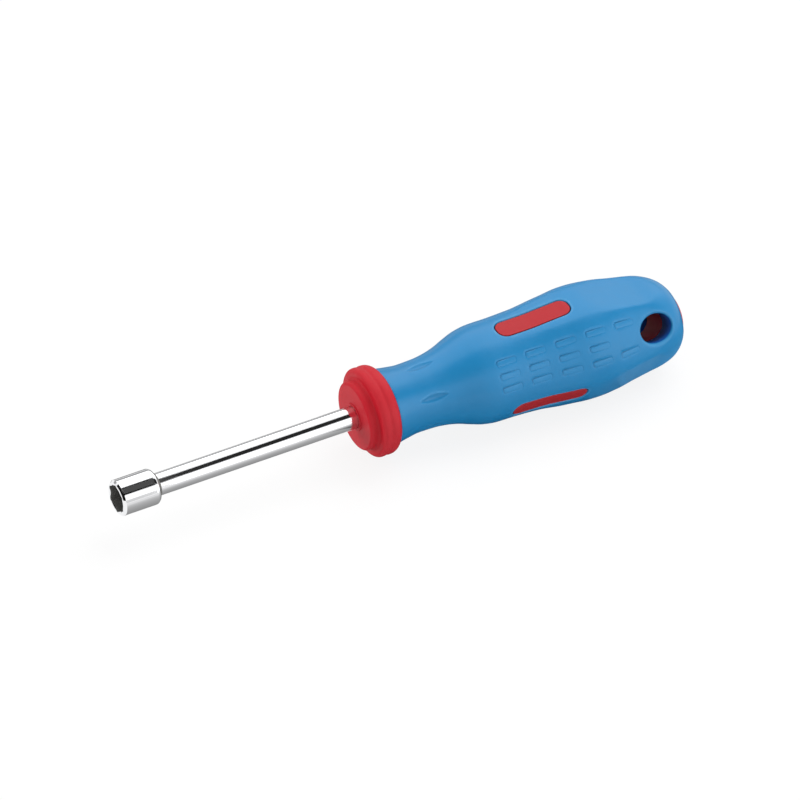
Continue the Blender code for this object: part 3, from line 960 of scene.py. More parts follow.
def relief_tree(tread):
    """Geometry Nodes that sink rows of tread pockets and a ring of dimples into the grip's skin."""
    tree = bpy.data.node_groups.new("Grip relief", "GeometryNodeTree")
    sockets = [("Geometry", "INPUT", "NodeSocketGeometry")]
    for label, value in relief_values(tread).items():
        sockets.append((label, "INPUT", "NodeSocketInt" if isinstance(value, int) else "NodeSocketFloat"))
    sockets += [("Finish", "INPUT", "NodeSocketMaterial"), ("Geometry", "OUTPUT", "NodeSocketGeometry")]
    for label, way, kind in sockets:
        tree.interface.new_socket(name=label, in_out=way, socket_type=kind)
    given, out = group_ends(tree)
    station, turn, reach, on_skin = (stored_value(tree, name) for name in SKIN_VALUES)

    # Place within the nearest pocket of the nearest panel
    in_panel = turn % RIDGE_STEP - RIDGE_STEP / 2
    row_place = (in_panel - given["Middle row"]) / given["Row step"]
    row = row_place.math("ROUND").at_most(1.0).at_least(-1.0)
    across = (row_place - row) * given["Row step"] * reach
    last = given["Columns"] - 1.0
    column_place = (station - given["First column"]) / given["Column pitch"]
    column = column_place.math("ROUND").at_most(last).at_least(0.0)
    along = (column_place - column) * given["Column pitch"]
    is_gap = row.math("COMPARE", 0.0, 0.5) * column.math("COMPARE", last, 0.5)

    # Distance from the pocket's rounded outline, and the groove and sloping floor inside it
    past_along = abs(along) - (given["Pocket length"] * 0.5 - given["Pocket corner"])
    past_across = abs(across) - (given["Pocket width"] * 0.5 - given["Pocket corner"])
    outer = (past_along.at_least(0.0) ** 2.0 + past_across.at_least(0.0) ** 2.0).math("SQRT")
    inner = past_along.at_least(past_across).at_most(0.0)
    distance = outer + inner - given["Pocket corner"]
    half_wall = given["Pocket wall"] * 0.5
    sunk = spread(distance, -half_wall, half_wall, 1.0, 0.0, smooth=True)
    past_wall = (-distance - half_wall).at_least(0.0)
    rise = (-past_wall / given["Groove width"]).math("EXPONENT")
    groove = (1.0 - given["Floor share"]) * rise + given["Floor share"]
    run = along / given["Pocket length"] + 0.5
    drop = across / given["Pocket width"] + 0.5
    fade = (1.0 - given["Fade along"] * run) * (1.0 - given["Fade across"] * drop)
    border = sunk * fade * (1.0 - is_gap)

    # Pointed oval dimples, one on every ridge and panel
    half_step = RIDGE_STEP / 4
    in_sector = (turn + half_step) % (2 * half_step) - half_step
    side = in_sector * reach / (given["Dimple width"] * 0.5)
    dimple_along = (station - given["Dimple centre"]) / (given["Dimple length"] * 0.5)
    within = 1.0 - dimple_along ** 2.0 - abs(side)
    dimple = within.at_least(0.0) ** DIMPLE_POWER

    depth = (border * groove * given["Pocket depth"] + dimple * given["Dimple depth"]) * on_skin
    normal = Wire(add_node(tree, "GeometryNodeInputNormal"), "Normal")
    sink = add_node(tree, "ShaderNodeVectorMath", {0: normal, "Scale": -depth}, operation="SCALE")
    inputs = {"Geometry": given["Geometry"], "Offset": Wire(sink)}
    shaped = add_node(tree, "GeometryNodeSetPosition", inputs)

    # Masks for the finish: painted shade in a border groove and low in a dimple, and a painted highlight
    # beside them
    lower_side = spread(side, *DIMPLE_SHADE, smooth=True)
    rim = 1.0 - (abs(within + DIMPLE_RIM) * DIMPLE_RIM_SHARPNESS).at_most(1.0)
    upper_rim = rim * spread(side, *DIMPLE_LIGHT, smooth=True)
    beside = abs(dimple_along).math("LESS_THAN", DIMPLE_RIM_END)
    masks = {"crease": border * rise ** 2.0 + dimple * lower_side,
             "glint": border * rise * (1.0 - rise) * 4.0 + upper_rim * beside}
    for name, mask in masks.items():
        inputs = {"Geometry": Wire(shaped), "Name": name, "Value": mask * on_skin}
        shaped = add_node(tree, "GeometryNodeStoreNamedAttribute", inputs, data_type="FLOAT",
                          domain="POINT")
    realized = add_node(tree, "GeometryNodeRealizeInstances", {0: Wire(shaped)})
    is_skin = Wire(add_node(tree, "GeometryNodeInputMaterialIndex")).math("COMPARE", 0.0, 0.5)
    inputs = {"Geometry": Wire(realized), "Selection": is_skin, "Material": given["Finish"]}
    feed(out["Geometry"], Wire(add_node(tree, "GeometryNodeSetMaterial", inputs)))
    return tree


def apply_relief(item, tread, material):
    """Run the relief tree on the grip and keep its result as a plain mesh."""
    mesh = item.data
    places = np.zeros(len(mesh.vertices) * 3)
    mesh.vertices.foreach_get("co", places)
    xs, ys, zs = places.reshape(-1, 3).T
    stations = xs - FACE_X
    centre_y, centre_z = handle_centre(stations)
    across = ys - centre_y
    up = zs - AXIS_Z - centre_z
    turns = np.arctan2(-across, up)
    reach = np.hypot(across, up)
    on_skin = np.abs(reach - handle_radius(stations, turns)) < SKIN_TOLERANCE
    for name, values in zip(SKIN_VALUES, (stations, turns - SECTION_TURN, reach, on_skin)):
        store(mesh, name, values)
    tree = relief_tree(tread)
    modifier = item.modifiers.new("Grip relief", "NODES")
    modifier.node_group = tree
    values = dict(relief_values(tread), Finish=material)
    for socket in tree.interface.items_tree:
        if socket.in_out == "INPUT" and socket.name in values:
            modifier[socket.identifier] = values[socket.name]
    shaped = item.evaluated_get(bpy.context.evaluated_depsgraph_get())
    finished = bpy.data.meshes.new_from_object(shaped)
    item.modifiers.remove(modifier)
    item.data = finished
    finished.name = item.name
    bpy.data.meshes.remove(mesh)
    for name in SKIN_VALUES:
        finished.attributes.remove(finished.attributes[name])
    finished.set_sharp_from_angle(angle=math.pi)


def lay_outline(sheet, centre, turn, outline):
    """Put an outline on the skin's surface, around a station and a turn."""
    stations = centre + outline[:, 0]
    reach = handle_radius(stations, np.full(len(stations), turn))
    sheet.add_outline(stations, turn + outline[:, 1] / reach, 0.0)


def dimple_outline(tread, level):
    """Pointed oval at a share of a dimple's depth."""
    half_long = tread.dimple_length / 2 * math.sqrt(1 - level)
    along = half_long * np.cos(np.linspace(0, math.pi, DIMPLE_STEPS))
    across = tread.dimple_width / 2 * (1 - (2 * along / tread.dimple_length) ** 2 - level)
    return np.column_stack([np.concatenate([along, along[-2:0:-1]]),
                            np.concatenate([across, -across[-2:0:-1]])])


def pocket_outlines(sheet, tread):
    """Lay points along the walls of every tread pocket and dimple."""
    for panel, row, column in itertools.product(range(3), (-1, 0, 1), range(tread.columns)):
        if row == 0 and column == tread.columns - 1:
            continue
        turn = SECTION_TURN + (panel + 0.5) * RIDGE_STEP + tread.row_centre + row * tread.row_step
        centre = tread.first + column * tread.pitch
        for grow in WALL_STEPS:
            outline = rounded_outline(tread.pocket_length, tread.pocket_width, tread.pocket_corner,
                                      grow * tread.wall)
            lay_outline(sheet, centre, turn, outline)
    for sector, level in itertools.product(range(6), DIMPLE_LEVELS):
        turn = SECTION_TURN + sector * RIDGE_STEP / 2
        lay_outline(sheet, tread.dimple_centre, turn, dimple_outline(tread, level))


# Operators

class NUTDRIVER_OT_socket(bpy.types.Operator):
    """Turn the chromed socket and cut its hexagon recess"""
    bl_idname = "nutdriver.socket"
    bl_label = "Chromed socket"

    CORNER_ROUND = 0.2 * MM
    JOINT_SHADE_FROM = 56.0
    SLOPE_TO = 15.0

    def execute(self, context):
        tool = context.scene.nut_driver
        sizes = tool.socket
        draft = Draft()
        turns = np.arange(RING_STEPS) * 2 * math.pi / RING_STEPS
        from_flat = (turns + math.pi / 6) % (math.pi / 3) - math.pi / 6
        from_middle = math.pi / 6 - np.abs(from_flat)
        hexagon = sizes.across_flats / 2 / np.cos(from_middle)
        bore = SPIGOT_RADIUS + FIT_GAP
        floor = sizes.front + sizes.depth
        mouth = np.maximum(hexagon, sizes.lead_in)
        chamfer_end = sizes.front + (mouth - hexagon)
        rear_centre = (SOCKET_REAR - sizes.rear_slope, sizes.radius - sizes.rear_slope)
        # Past the plating, the rear slope, the rear face and the recess take dark steel: the steel's own
        # colour inside the recess, painted shade on the rear slope and face where the socket meets the
        # shaft
        plated = braced(self.chamfer(sizes) + arc(rear_centre, sizes.rear_slope, 90, self.JOINT_SHADE_FROM))
        joint_shade_and_recess = arc(rear_centre, sizes.rear_slope, self.JOINT_SHADE_FROM, self.SLOPE_TO)[1:]
        joint_shade_and_recess += [(SOCKET_REAR, SHAFT_RADIUS), (SOCKET_REAR, bore), (floor, bore), (floor, hexagon),
                 (chamfer_end, hexagon)]
        face = [lathe_ring(draft, sizes.front, mouth, start=sizes.hex_turn)]
        face += [lathe_ring(draft, station, radius, start=sizes.hex_turn) for station, radius in plated]
        inner = [lathe_ring(draft, station, radius, start=sizes.hex_turn) for station, radius in joint_shade_and_recess]
        draft.skin(face)
        draft.dark_faces.update(draft.skin(face[-1:] + inner))
        draft.skin([inner[-1], face[0]])
        seat(draft.finish("chrome_socket", chrome_finishes(tool.finish)), "chrome", "socket_head")
        return {"FINISHED"}

    def chamfer(self, sizes):
        """The front edge: a chamfer whose two corners are slightly rounded."""
        turn = self.CORNER_ROUND * math.tan(math.pi / 8)
        inner = sizes.radius - sizes.front_chamfer - turn
        outer = sizes.front + sizes.front_chamfer + turn
        points = arc((sizes.front + self.CORNER_ROUND, inner), self.CORNER_ROUND, 180, 135)
        return points + arc((outer, sizes.radius - self.CORNER_ROUND), self.CORNER_ROUND, 135, 90)


class NUTDRIVER_OT_shaft(bpy.types.Operator):
    """Turn the chromed shaft with its spigot"""
    bl_idname = "nutdriver.shaft"
    bl_label = "Chromed shaft"

    SHOULDER_ROUND = 0.1 * MM
    TAIL_CHAMFER = 0.6 * MM
    JOINT_SHADE_BANDS = ARC_STEPS + 3

    def execute(self, context):
        tool = context.scene.nut_driver
        shoulder = SOCKET_REAR + FIT_GAP
        tip = shoulder - SPIGOT_LENGTH
        round_centre = (shoulder + self.SHOULDER_ROUND, SHAFT_RADIUS - self.SHOULDER_ROUND)
        profile = [(tip, 0.0), (tip, SPIGOT_RADIUS), (shoulder, SPIGOT_RADIUS)]
        bar = arc(round_centre, self.SHOULDER_ROUND, 180, 90)
        bar += [(SHAFT_END - self.TAIL_CHAMFER, SHAFT_RADIUS),
                (SHAFT_END, SHAFT_RADIUS - self.TAIL_CHAMFER)]
        draft = Draft()
        lathe(draft, profile + braced(bar) + [(SHAFT_END, 0.0)], False)
        # The spigot, the shoulder and a narrow band of the shaft behind the socket take dark steel: painted
        # shade in the joint between socket and shaft
        draft.dark_faces.update(range(self.JOINT_SHADE_BANDS * RING_STEPS))
        seat(draft.finish("chrome_shaft", chrome_finishes(tool.finish)), "chrome", "shaft")
        return {"FINISHED"}


class NUTDRIVER_OT_collar(bpy.types.Operator):
    """Turn the red two-step collar in front of the grip"""
    bl_idname = "nutdriver.collar"
    bl_label = "Red collar"

    REAR_ARC = math.radians(75.0)
    GROOVE_SPAN = 0.9 * MM
    SHAFT_CLEARANCE = 0.03 * MM
    STREAKS = 0.5
    SPECULAR = 0.14

    def execute(self, context):
        tool = context.scene.nut_driver
        sizes = tool.collar
        bore = SHAFT_RADIUS + self.SHAFT_CLEARANCE
        counterbore = NOSE_RADIUS + FIT_GAP
        lip_centre = (sizes.boss_front, sizes.lip_radius - sizes.lip_height)
        boss_centre = (sizes.boss_front + sizes.boss_round, sizes.boss_radius - sizes.boss_round)
        corner_centre = (sizes.flange_front - sizes.fillet, sizes.boss_radius + sizes.fillet)
        front_centre = (sizes.flange_front + sizes.flange_round, sizes.flange_radius - sizes.flange_round)
        profile = [(sizes.boss_front - sizes.lip_height, bore)]
        profile += arc(lip_centre, sizes.lip_height, 180, 90)
        profile += arc(boss_centre, sizes.boss_round, 180, 90)
        profile += arc(corner_centre, sizes.fillet, -90, 0)
        profile += arc(front_centre, sizes.flange_round, 180, 90)
        for a in np.linspace(-math.pi, math.pi, ARC_STEPS + 1):
            sink = sizes.groove_depth * (1 + math.cos(a)) / 2
            profile.append((sizes.groove + self.GROOVE_SPAN * a / math.pi, sizes.flange_radius - sink))
        for a in np.linspace(0, self.REAR_ARC, ARC_STEPS + 1):
            along = math.sin(a) / math.sin(self.REAR_ARC)
            down = (1 - math.cos(a)) / (1 - math.cos(self.REAR_ARC))
            profile.append((sizes.shoulder + (COLLAR_REAR - sizes.shoulder) * along,
                            sizes.flange_radius - (sizes.flange_radius - sizes.rear_radius) * down))
        profile += [(COLLAR_REAR, counterbore), (COLLAR_REAR - NOSE_DEPTH, counterbore),
                    (COLLAR_REAR - NOSE_DEPTH, bore)]
        draft = Draft()
        lathe(draft, braced(profile), True)
        item = draft.finish("red_collar", [finish_named("Red collar plastic", red_finish, tool.finish.red,
                                                        self.STREAKS, self.SPECULAR)])
        rims = [v.co for v in item.data.vertices
                if abs(math.hypot(v.co.y, v.co.z - AXIS_Z) - sizes.flange_radius) < FIT_GAP]
        mark_edges(item, rims, sizes.flange_round)
        seat(item, "red_plastic", "front_collar")
        return {"FINISHED"}


class NUTDRIVER_OT_core(bpy.types.Operator):
    """Wrap the red core with its three lands and its hanging hole"""
    bl_idname = "nutdriver.core"
    bl_label = "Red core"

    LAND_EDGE = 0.25 * MM
    LAND_FOOT = 0.08 * MM
    HOLE_ROOM = 0.55 * MM
    LAND_RINGS = np.linspace(0.2, 0.9, 6)

    def execute(self, context):
        tool = context.scene.nut_driver
        sizes = tool.handle
        front = COLLAR_REAR + FIT_GAP
        inset = sizes.thickness + FIT_GAP

        def body_radius(stations, turns):
            return handle_radius(stations, turns) - inset

        draft = Draft()
        sheet = WrappedSheet(front, CORE_REAR, LINING_ROW)
        rise = inset - sizes.land_sink
        rims = []
        for window in WINDOWS:
            foot = sheet.add_outline(*window_rim(sizes, window, self.LAND_FOOT - FIT_GAP), 0.0)
            sheet.clear_inside(foot, False)
            for offset, drop in reversed(rim_profile(self.LAND_EDGE)):
                stations, turns = window_rim(sizes, window, -FIT_GAP - offset)
                sheet.add_outline(stations, turns, drop - rise)
                rims.append(place_points(stations, turns, handle_radius(stations, turns) - sizes.land_sink))
            for narrow in self.LAND_RINGS:
                self.add_land_ring(sheet, sizes, window, narrow, -rise)
        mouths = []
        for side in (1, -1):
            places = hole_places(sizes, side, self.HOLE_ROOM, body_radius)
            mouths.append(sheet.add_outline(*places, 0.0))
            sheet.clear_inside(mouths[-1], True)
        front_ring, rear_ring, loops = sheet.build(body_radius, draft)
        self.close_front(draft, front_ring)
        self.close_rear(draft, rear_ring)
        self.bore_hole(draft, sizes, [loops[n] for n in mouths])
        # The core's wall in the hanging hole takes a lighter copy of its red: painted light
        painted_bore_light = finish_named("Red hole middle", shaded_finish, tool.finish.bore)
        item = draft.finish("red_core", [core_finish(tool.finish), painted_bore_light])
        mark_edges(item, np.concatenate(rims), self.LAND_EDGE)
        seat(item, "red_plastic", "handle_core")
        return {"FINISHED"}

    def add_land_ring(self, sheet, sizes, window, narrow, depth):
        """Carry the land's flat top inwards with an outline shrunk by a share of its half width."""
        shrink = narrow * (sizes.window_width / 2 - FIT_GAP)
        corner = max(sizes.window_corner - shrink, 2 * FIT_GAP)
        outline = rounded_outline(sizes.window_length - 2 * shrink, sizes.window_width - 2 * shrink,
                                  min(corner, sizes.window_width / 2 - shrink), -FIT_GAP)
        stations, turns = window_places(sizes, window, outline)
        sheet.add_outline(stations, turns, depth)

    def close_front(self, draft, ring):
        front = COLLAR_REAR + FIT_GAP
        bore = SHAFT_RADIUS + FIT_GAP
        steps = [(front, NOSE_RADIUS), (front - NOSE_DEPTH, NOSE_RADIUS), (front - NOSE_DEPTH, bore),
                 (SHAFT_END + FIT_GAP, bore)]
        rings = [ring] + [wrapped_ring(draft, station, radius) for station, radius in steps]
        draft.skin(rings)
        draft.cap(rings[-1], (FACE_X + SHAFT_END + FIT_GAP, 0.0, AXIS_Z))

    def close_rear(self, draft, ring):
        centre = centre_at(CAP_END)
        floor = CORE_REAR - CAP_SPIGOT_LENGTH
        rings = [lathe_ring(draft, station, CAP_SPIGOT_RADIUS + FIT_GAP, centre, SEAM_TURN)
                 for station in (CORE_REAR, floor)]
        draft.skin([ring] + rings)
        draft.cap(rings[-1], (FACE_X + floor, centre[0], AXIS_Z + centre[1]))

    def bore_hole(self, draft, sizes, mouths):
        step = mouth_reach(sizes, 1) - sizes.hole_lining - FIT_GAP
        edges = ((1, self.HOLE_ROOM), (1, 0.0), (-1, 0.0), (-1, self.HOLE_ROOM))
        rings = [hole_ring(draft, sizes, side, grow, step) for side, grow in edges]
        draft.dark_faces.update(draft.skin(mouths[:1] + rings + mouths[1:]))


class NUTDRIVER_OT_grip(bpy.types.Operator):
    """Wrap the blue soft grip with its windows, tread pockets, dimples and hanging hole"""
    bl_idname = "nutdriver.grip"
    bl_label = "Blue grip"

    FRONT_ROUND = 0.15 * MM
    LINING_WALL = 0.3 * MM
    EDGE_REACH = 0.8 * MM

    def execute(self, context):
        tool = context.scene.nut_driver
        sizes = tool.handle
        front = COLLAR_REAR + SEAM_GAP
        inner_end = CORE_REAR + FIT_GAP

        def inner_radius(stations, turns):
            return handle_radius(stations, turns) - sizes.thickness

        draft = Draft()
        skin = WrappedSheet(front + self.FRONT_ROUND, SLEEVE_REAR, SKIN_ROW)
        lining = WrappedSheet(front, inner_end, LINING_ROW)
        rims = []

        def cut(rim, inner_places):
            """Cut an opening with a rounded rim through both sheets; returns the numbers of its edges."""
            edges = [skin.add_outline(*row) for row in rim]
            stations, turns, _ = rim[-1]
            rims.append(place_points(stations, turns, handle_radius(stations, turns)))
            skin.clear_inside(edges[0], False)
            skin.clear_inside(edges[-1], True)
            inner = lining.add_outline(*inner_places, 0.0)
            lining.clear_inside(inner, True)
            return edges[-1], inner

        window_walls = []
        for window in WINDOWS:
            rim = [(*window_rim(sizes, window, offset), depth)
                   for offset, depth in rim_profile(sizes.window_rim)]
            window_walls.append(cut(rim, rim[-1][:2]))
        hole_walls = []
        for side in (1, -1):
            rim = [(*hole_places(sizes, side, offset, handle_radius), depth)
                   for offset, depth in rim_profile(sizes.hole_rim)]
            lined = hole_places(sizes, side, self.LINING_WALL, inner_radius)
            hole_walls.append((side, *cut(rim, lined)))
        pocket_outlines(skin, tool.tread)
        skin_front, skin_rear, skin_loops = skin.build(handle_radius, draft)
        lining_front, lining_rear, lining_loops = lining.build(inner_radius, draft)
        for outer, inner in window_walls:
            draft.skin([skin_loops[outer], lining_loops[inner]])
        for side, outer, inner in hole_walls:
            self.line_hole(draft, sizes, side, skin_loops[outer], lining_loops[inner])
        self.close_front(draft, front, skin_front, lining_front)
        self.close_rear(draft, skin_rear, lining_rear, inner_end)
        finish = finish_named("Blue soft grip", blue_finish, tool.finish.blue)
        # The hole's lining takes a darker copy of the grip's finish: painted shade
        painted_hole_shade = finish_named("Blue hole lining", shaded_finish, tool.finish.lining)
        item = draft.finish("blue_grip", [finish, painted_hole_shade])
        mark_edges(item, np.concatenate(rims), self.EDGE_REACH)
        apply_relief(item, tool.tread, finish)
        seat(item, "blue_grip", "grip_sleeve")
        return {"FINISHED"}

    def line_hole(self, draft, sizes, side, outer, inner):
        end = mouth_reach(sizes, side) - sizes.hole_lining
        rings = [hole_ring(draft, sizes, side, grow, end) for grow in (0.0, self.LINING_WALL)]
        draft.dark_faces.update(draft.skin([outer, *rings, inner]))

    def close_front(self, draft, front, skin_ring, lining_ring):
        rings = [skin_ring]
        for offset, depth in rim_profile(self.FRONT_ROUND)[1:]:
            radii = handle_radius(np.full(RING_STEPS, front + offset), RING_TURNS)
            rings.append(wrapped_ring(draft, front + offset, radii - depth))
        draft.skin(rings + [lining_ring])

    def close_rear(self, draft, skin_ring, lining_ring, inner_end):
        rings = [wrapped_ring(draft, station, CAP_RADIUS + FIT_GAP)
                 for station in (SLEEVE_REAR + SLEEVE_LIP, inner_end)]
        draft.skin([skin_ring] + rings + [lining_ring])


class NUTDRIVER_OT_end_cap(bpy.types.Operator):
    """Turn the red end cap in the butt of the grip"""
    bl_idname = "nutdriver.end_cap"
    bl_label = "Red end cap"

    EDGE_ROUND = 1.2 * MM

    def execute(self, context):
        tool = context.scene.nut_driver
        front = CORE_REAR + FIT_GAP
        spigot = front - CAP_SPIGOT_LENGTH
        edge_centre = (CAP_END - self.EDGE_ROUND, CAP_RADIUS - self.EDGE_ROUND)
        profile = [(spigot, 0.0), (spigot, CAP_SPIGOT_RADIUS), (front, CAP_SPIGOT_RADIUS),
                   (front, CAP_RADIUS)]
        profile += arc(edge_centre, self.EDGE_ROUND, 90, 0)
        profile += [(CAP_END, 0.0)]
        draft = Draft()
        lathe(draft, profile, False, centre_at(CAP_END))
        item = draft.finish("red_end_cap", [core_finish(tool.finish)])
        edge_x = FACE_X + CAP_END - self.EDGE_ROUND / 2
        rims = [v.co for v in item.data.vertices if v.co.x > edge_x]
        mark_edges(item, rims, self.EDGE_ROUND)
        seat(item, "red_plastic", "end_cap")
        return {"FINISHED"}


class NUTDRIVER_OT_stage(bpy.types.Operator):
    """Set the floor, surrounding light, lamps, reflection cards and camera"""
    bl_idname = "nutdriver.stage"
    bl_label = "Studio stage"

    ONE_FACE = ((0, 1, 2, 3),)
    FLOOR_HALF = 6.0
    FLOOR_DROP = 0.1 * MM
    KEY_DIRECTION = (0.42, 0.08, 0.88)
    FILL_DIRECTION = (0.65, -0.70, 0.20)
    END_DIRECTION = (-1.0, 0.42, 0.14)
    LAMP_DISTANCE = 0.95
    WIDE_LAMP = 0.8
    NARROW_LAMP = 0.35

    # Where the socket's cards end along the tool, and the x limits of the table's cards
    CARD_SPLIT = 0.153
    SOCKET_SIDE = (-0.5, CARD_SPLIT)
    SOCKET_X = -0.094
    COLLAR_X = -0.008
    BELLY_X = 0.062
    BUTT_X = 0.074
    TABLE_END_X = 0.15

    # Cards bent round the tool's line: name, brightness, span along it, turns about it and distance
    STRIP_STEPS = 16
    STRIPS = [("streak_card", 0.02, (CARD_SPLIT, 0.9), (1.0, 37.5), 0.6),
              ("socket_card", 0.08, SOCKET_SIDE, (1.0, 32.0), 0.6),
              ("backing_card", 0.01, SOCKET_SIDE, (-7.0, 41.0), 0.605),
              ("back_softbox", 1.9, (-0.5, 1.2), (-70.0, -12.0), 0.6),
              ("front_softbox", 1.9, (CARD_SPLIT, 1.4), (46.0, 92.0), 0.6),
              ("socket_softbox", 1.2, SOCKET_SIDE, (44.0, 75.0), 0.6),
              ("socket_grey_card", 0.72, SOCKET_SIDE, (75.0, 94.0), 0.6)]

    # Cards on the table: name, x span, y span, brightness, colour and where they start to turn bright
    WHITE = (1.0, 1.0, 1.0)
    PALE_BLUE = (0.40, 0.70, 1.0)
    # The dark stretches of these cards close to and under the tool are a painted shadow of the tool on the
    # table, seen only in reflections
    TABLE_CARDS = [("front_table_card", (SOCKET_X, COLLAR_X), (-0.3, 0.0), 0.27, WHITE, 0.0),
                   ("grip_table_card", (COLLAR_X, BELLY_X), (-0.12, 0.0), 0.03, WHITE, 0.014),
                   ("belly_table_card", (BELLY_X, BUTT_X), (-0.12, 0.0), 0.26, PALE_BLUE, 0.014),
                   ("butt_table_card", (BUTT_X, TABLE_END_X), (-0.12, 0.0), 0.54, PALE_BLUE, 0.014),
                   ("back_table_card", (SOCKET_X, TABLE_END_X), (0.04, 0.15), 0.3, WHITE, None),
                   ("under_card", (COLLAR_X, TABLE_END_X), (0.0, 0.04), 0.03, WHITE, None)]
    TABLE_LEVEL = 0.82
    RAMP_END = 0.075

    # Upright cards: where they stand, the limits of their two sides and their brightness
    BACK_Y = 0.6
    BACK_SIDES = ((-0.5, 1.0), (0.0, 0.23))
    BACK_LEVEL = 0.38
    END_X = -0.9
    END_SIDES = ((-0.7, 0.8), (0.0, 0.6))
    ROOM_SIDES = ((-0.7, 0.4), (-0.6, 0.45))
    DARK_LEVEL = 0.01

    def execute(self, context):
        tool = context.scene.nut_driver
        context.scene.view_settings.view_transform = "Standard"
        self.set_camera(context.scene, tool.stage)
        self.set_world(context.scene, tool.stage)
        self.set_floor(tool)
        self.add_lamp("Key", tool.stage.key, self.KEY_DIRECTION, self.WIDE_LAMP)
        self.add_lamp("Fill", tool.stage.fill, self.FILL_DIRECTION, self.WIDE_LAMP)
        self.add_lamp("End", tool.stage.end, self.END_DIRECTION, self.NARROW_LAMP)
        self.set_cards(tool.stage)
        return {"FINISHED"}

    def camera_side(self, stage):
        """Direction from the tool to the camera."""
        level = math.cos(stage.elevation)
        return Vector((math.sin(stage.azimuth) * level, -math.cos(stage.azimuth) * level,
                       math.sin(stage.elevation)))

    def set_camera(self, scene, stage):
        data = bpy.data.cameras.new("Camera")
        data.lens = stage.lens
        camera = bpy.data.objects.new("Camera", data)
        scene.collection.objects.link(camera)
        back = self.camera_side(stage)
        aim = Vector((FACE_X + stage.aim, 0.0, AXIS_Z))
        turn = (-back).to_track_quat("-Z", "Y") @ Quaternion((0.0, 0.0, 1.0), stage.roll)
        aim += turn @ Vector((0.0, stage.lift, 0.0))
        camera.rotation_mode = "QUATERNION"
        camera.rotation_quaternion = turn
        camera.location = aim + back * (stage.span * stage.lens / data.sensor_width)
        scene.camera = camera

    def seen_directly(self, tree):
        """1 for what the camera, a reflection or a view through glass sees, 0 for light on surfaces."""
        path = add_node(tree, "ShaderNodeLightPath")
        shown = Wire(path, "Is Camera Ray").at_least(Wire(path, "Is Glossy Ray"))
        return shown.at_least(Wire(path, "Is Transmission Ray"))

    def set_world(self, scene, stage):
        world = bpy.data.worlds.new("Studio")
        world.use_nodes = True
        light = world.node_tree.nodes["Background"]
        light.inputs["Color"].default_value = opaque(self.WHITE)
        strength = self.seen_directly(world.node_tree) * (1.0 - stage.ambient) + stage.ambient
        feed(light.inputs["Strength"], strength)
        scene.world = world

    def add_plane(self, name, corners, faces=ONE_FACE):
        mesh = bpy.data.meshes.new(name)
        mesh.from_pydata(corners, [], faces)
        item = bpy.data.objects.new(name, mesh)
        bpy.context.scene.collection.objects.link(item)
        return item

    def add_surface(self, item, name):
        """Give an item a material without a shader; returns its tree and the input for one."""
        material = bpy.data.materials.new(name)
        material.use_nodes = True
        tree = material.node_tree
        tree.nodes.remove(tree.nodes["Principled BSDF"])
        item.data.materials.append(material)
        return tree, tree.nodes["Material Output"].inputs["Surface"]

    def set_floor(self, tool):
        span = (-self.FLOOR_HALF, self.FLOOR_HALF)
        floor = self.add_plane("floor", [(x, y, -self.FLOOR_DROP) for x, y in rectangle(span, span)])
        tree, surface = self.add_surface(floor, "Studio floor")
        matt = add_node(tree, "ShaderNodeBsdfDiffuse", {"Color": opaque(tool.finish.floor)})
        white = add_node(tree, "ShaderNodeEmission")
        inputs = {"Fac": self.seen_directly(tree) * tool.stage.whiteness, 1: Wire(matt), 2: Wire(white)}
        feed(surface, Wire(add_node(tree, "ShaderNodeMixShader", inputs)))

    def add_lamp(self, name, power, towards, size):
        data = bpy.data.lights.new(name, "AREA")
        data.size = size
        data.energy = power
        lamp = bpy.data.objects.new(name, data)
        bpy.context.scene.collection.objects.link(lamp)
        direction = Vector(towards).normalized()
        lamp.location = Vector((0.0, 0.0, AXIS_Z)) + direction * self.LAMP_DISTANCE
        lamp.rotation_mode = "QUATERNION"
        lamp.rotation_quaternion = direction.to_track_quat("Z", "Y")
        lamp.visible_glossy = False

    def set_cards(self, stage):
        """Bright, dark and grey cards that only reflections see."""
        for strip in self.STRIPS:
            self.add_strip(*strip)
        for name, x_span, y_span, level, tint, near in self.TABLE_CARDS:
            corners = [(x, y, 0.0) for x, y in rectangle(x_span, y_span)]
            self.add_card(name, corners, level, tint=tint, near=near)
        behind = [(x, self.BACK_Y, z) for x, z in rectangle(*self.BACK_SIDES)]
        self.add_card("back_card", behind, self.BACK_LEVEL)
        side = [(self.END_X, y, z) for y, z in rectangle(*self.END_SIDES)]
        self.add_card("end_card", side, self.DARK_LEVEL)
        towards = self.camera_side(stage)
        right = towards.cross(Vector((0.0, 0.0, 1.0))).normalized() * -1.0
        up = right.cross(towards) * -1.0
        facing = [towards + right * x + up * y for x, y in rectangle(*self.ROOM_SIDES)]
        self.add_card("room_card", facing, self.DARK_LEVEL)

    def add_strip(self, name, level, span, turns, distance):
        """A card bent round the tool's line, between two places along it and two turns about it."""
        points = []
        for a in np.radians(np.linspace(*turns, self.STRIP_STEPS + 1)):
            points += [(x, -distance * math.sin(a), AXIS_Z + distance * math.cos(a)) for x in span]
        faces = [(i, i + 1, i + 3, i + 2) for i in range(0, 2 * self.STRIP_STEPS, 2)]
        self.add_card(name, points, level, faces)

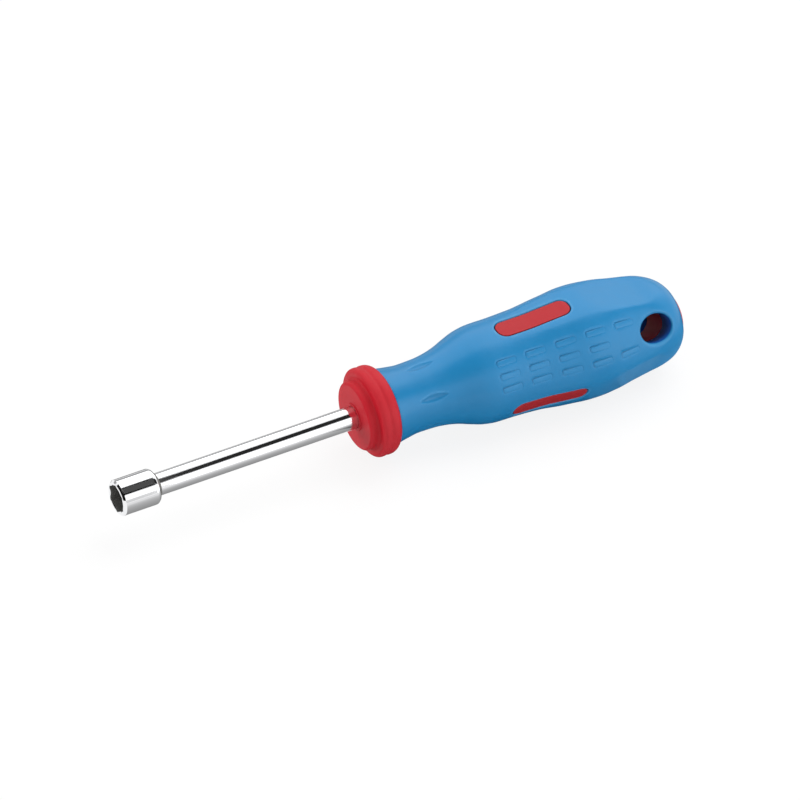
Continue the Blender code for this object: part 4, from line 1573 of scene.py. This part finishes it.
    def add_card(self, name, corners, level, faces=ONE_FACE, tint=WHITE, near=None):
        """A card of a brightness, which may rise to the table's with the distance from the tool."""
        card = self.add_plane(name, corners, faces)
        tree, surface = self.add_surface(card, name)
        strength = level
        if near is not None:
            split = add_node(tree, "ShaderNodeSeparateXYZ", {0: object_place(tree)})
            strength = spread(-Wire(split, "Y"), near, self.RAMP_END, level, self.TABLE_LEVEL)
        glow = add_node(tree, "ShaderNodeEmission", {"Color": opaque(tint), "Strength": strength})
        feed(surface, Wire(glow))
        card.visible_camera = False
        card.visible_diffuse = False
        card.visible_shadow = False
        card.visible_transmission = False


class NUTDRIVER_PT_sidebar(bpy.types.Panel):
    """Lists the pieces of the nut driver and their sizes"""
    bl_idname = "NUTDRIVER_PT_sidebar"
    bl_label = "Nut Driver"
    bl_space_type = "VIEW_3D"
    bl_region_type = "UI"
    bl_category = "Nut Driver"

    def draw(self, context):
        tool = context.scene.nut_driver
        for group in ("socket", "collar", "handle", "tread", "finish", "stage"):
            box = self.layout.box()
            box.label(text=group.title())
            sizes = getattr(tool, group)
            for name in sizes.__annotations__:
                box.prop(sizes, name)
        for operator in OPERATORS:
            self.layout.operator(operator.bl_idname)


GROUPS = (NUTDRIVER_PG_socket, NUTDRIVER_PG_collar, NUTDRIVER_PG_handle, NUTDRIVER_PG_tread,
          NUTDRIVER_PG_finish, NUTDRIVER_PG_stage, NUTDRIVER_PG_tool)
OPERATORS = (NUTDRIVER_OT_stage, NUTDRIVER_OT_socket, NUTDRIVER_OT_shaft, NUTDRIVER_OT_collar,
             NUTDRIVER_OT_core, NUTDRIVER_OT_grip, NUTDRIVER_OT_end_cap)
CLASSES = GROUPS + OPERATORS + (NUTDRIVER_PT_sidebar,)


def register():
    for item in CLASSES:
        bpy.utils.register_class(item)
    bpy.types.Scene.nut_driver = PointerProperty(type=NUTDRIVER_PG_tool)


def unregister():
    del bpy.types.Scene.nut_driver
    for item in reversed(CLASSES):
        bpy.utils.unregister_class(item)


def main():
    register()
    bpy.ops.nutdriver.stage()
    bpy.ops.nutdriver.socket()
    bpy.ops.nutdriver.shaft()
    bpy.ops.nutdriver.collar()
    bpy.ops.nutdriver.core()
    bpy.ops.nutdriver.grip()
    bpy.ops.nutdriver.end_cap()


if __name__ == "__main__":
    main()
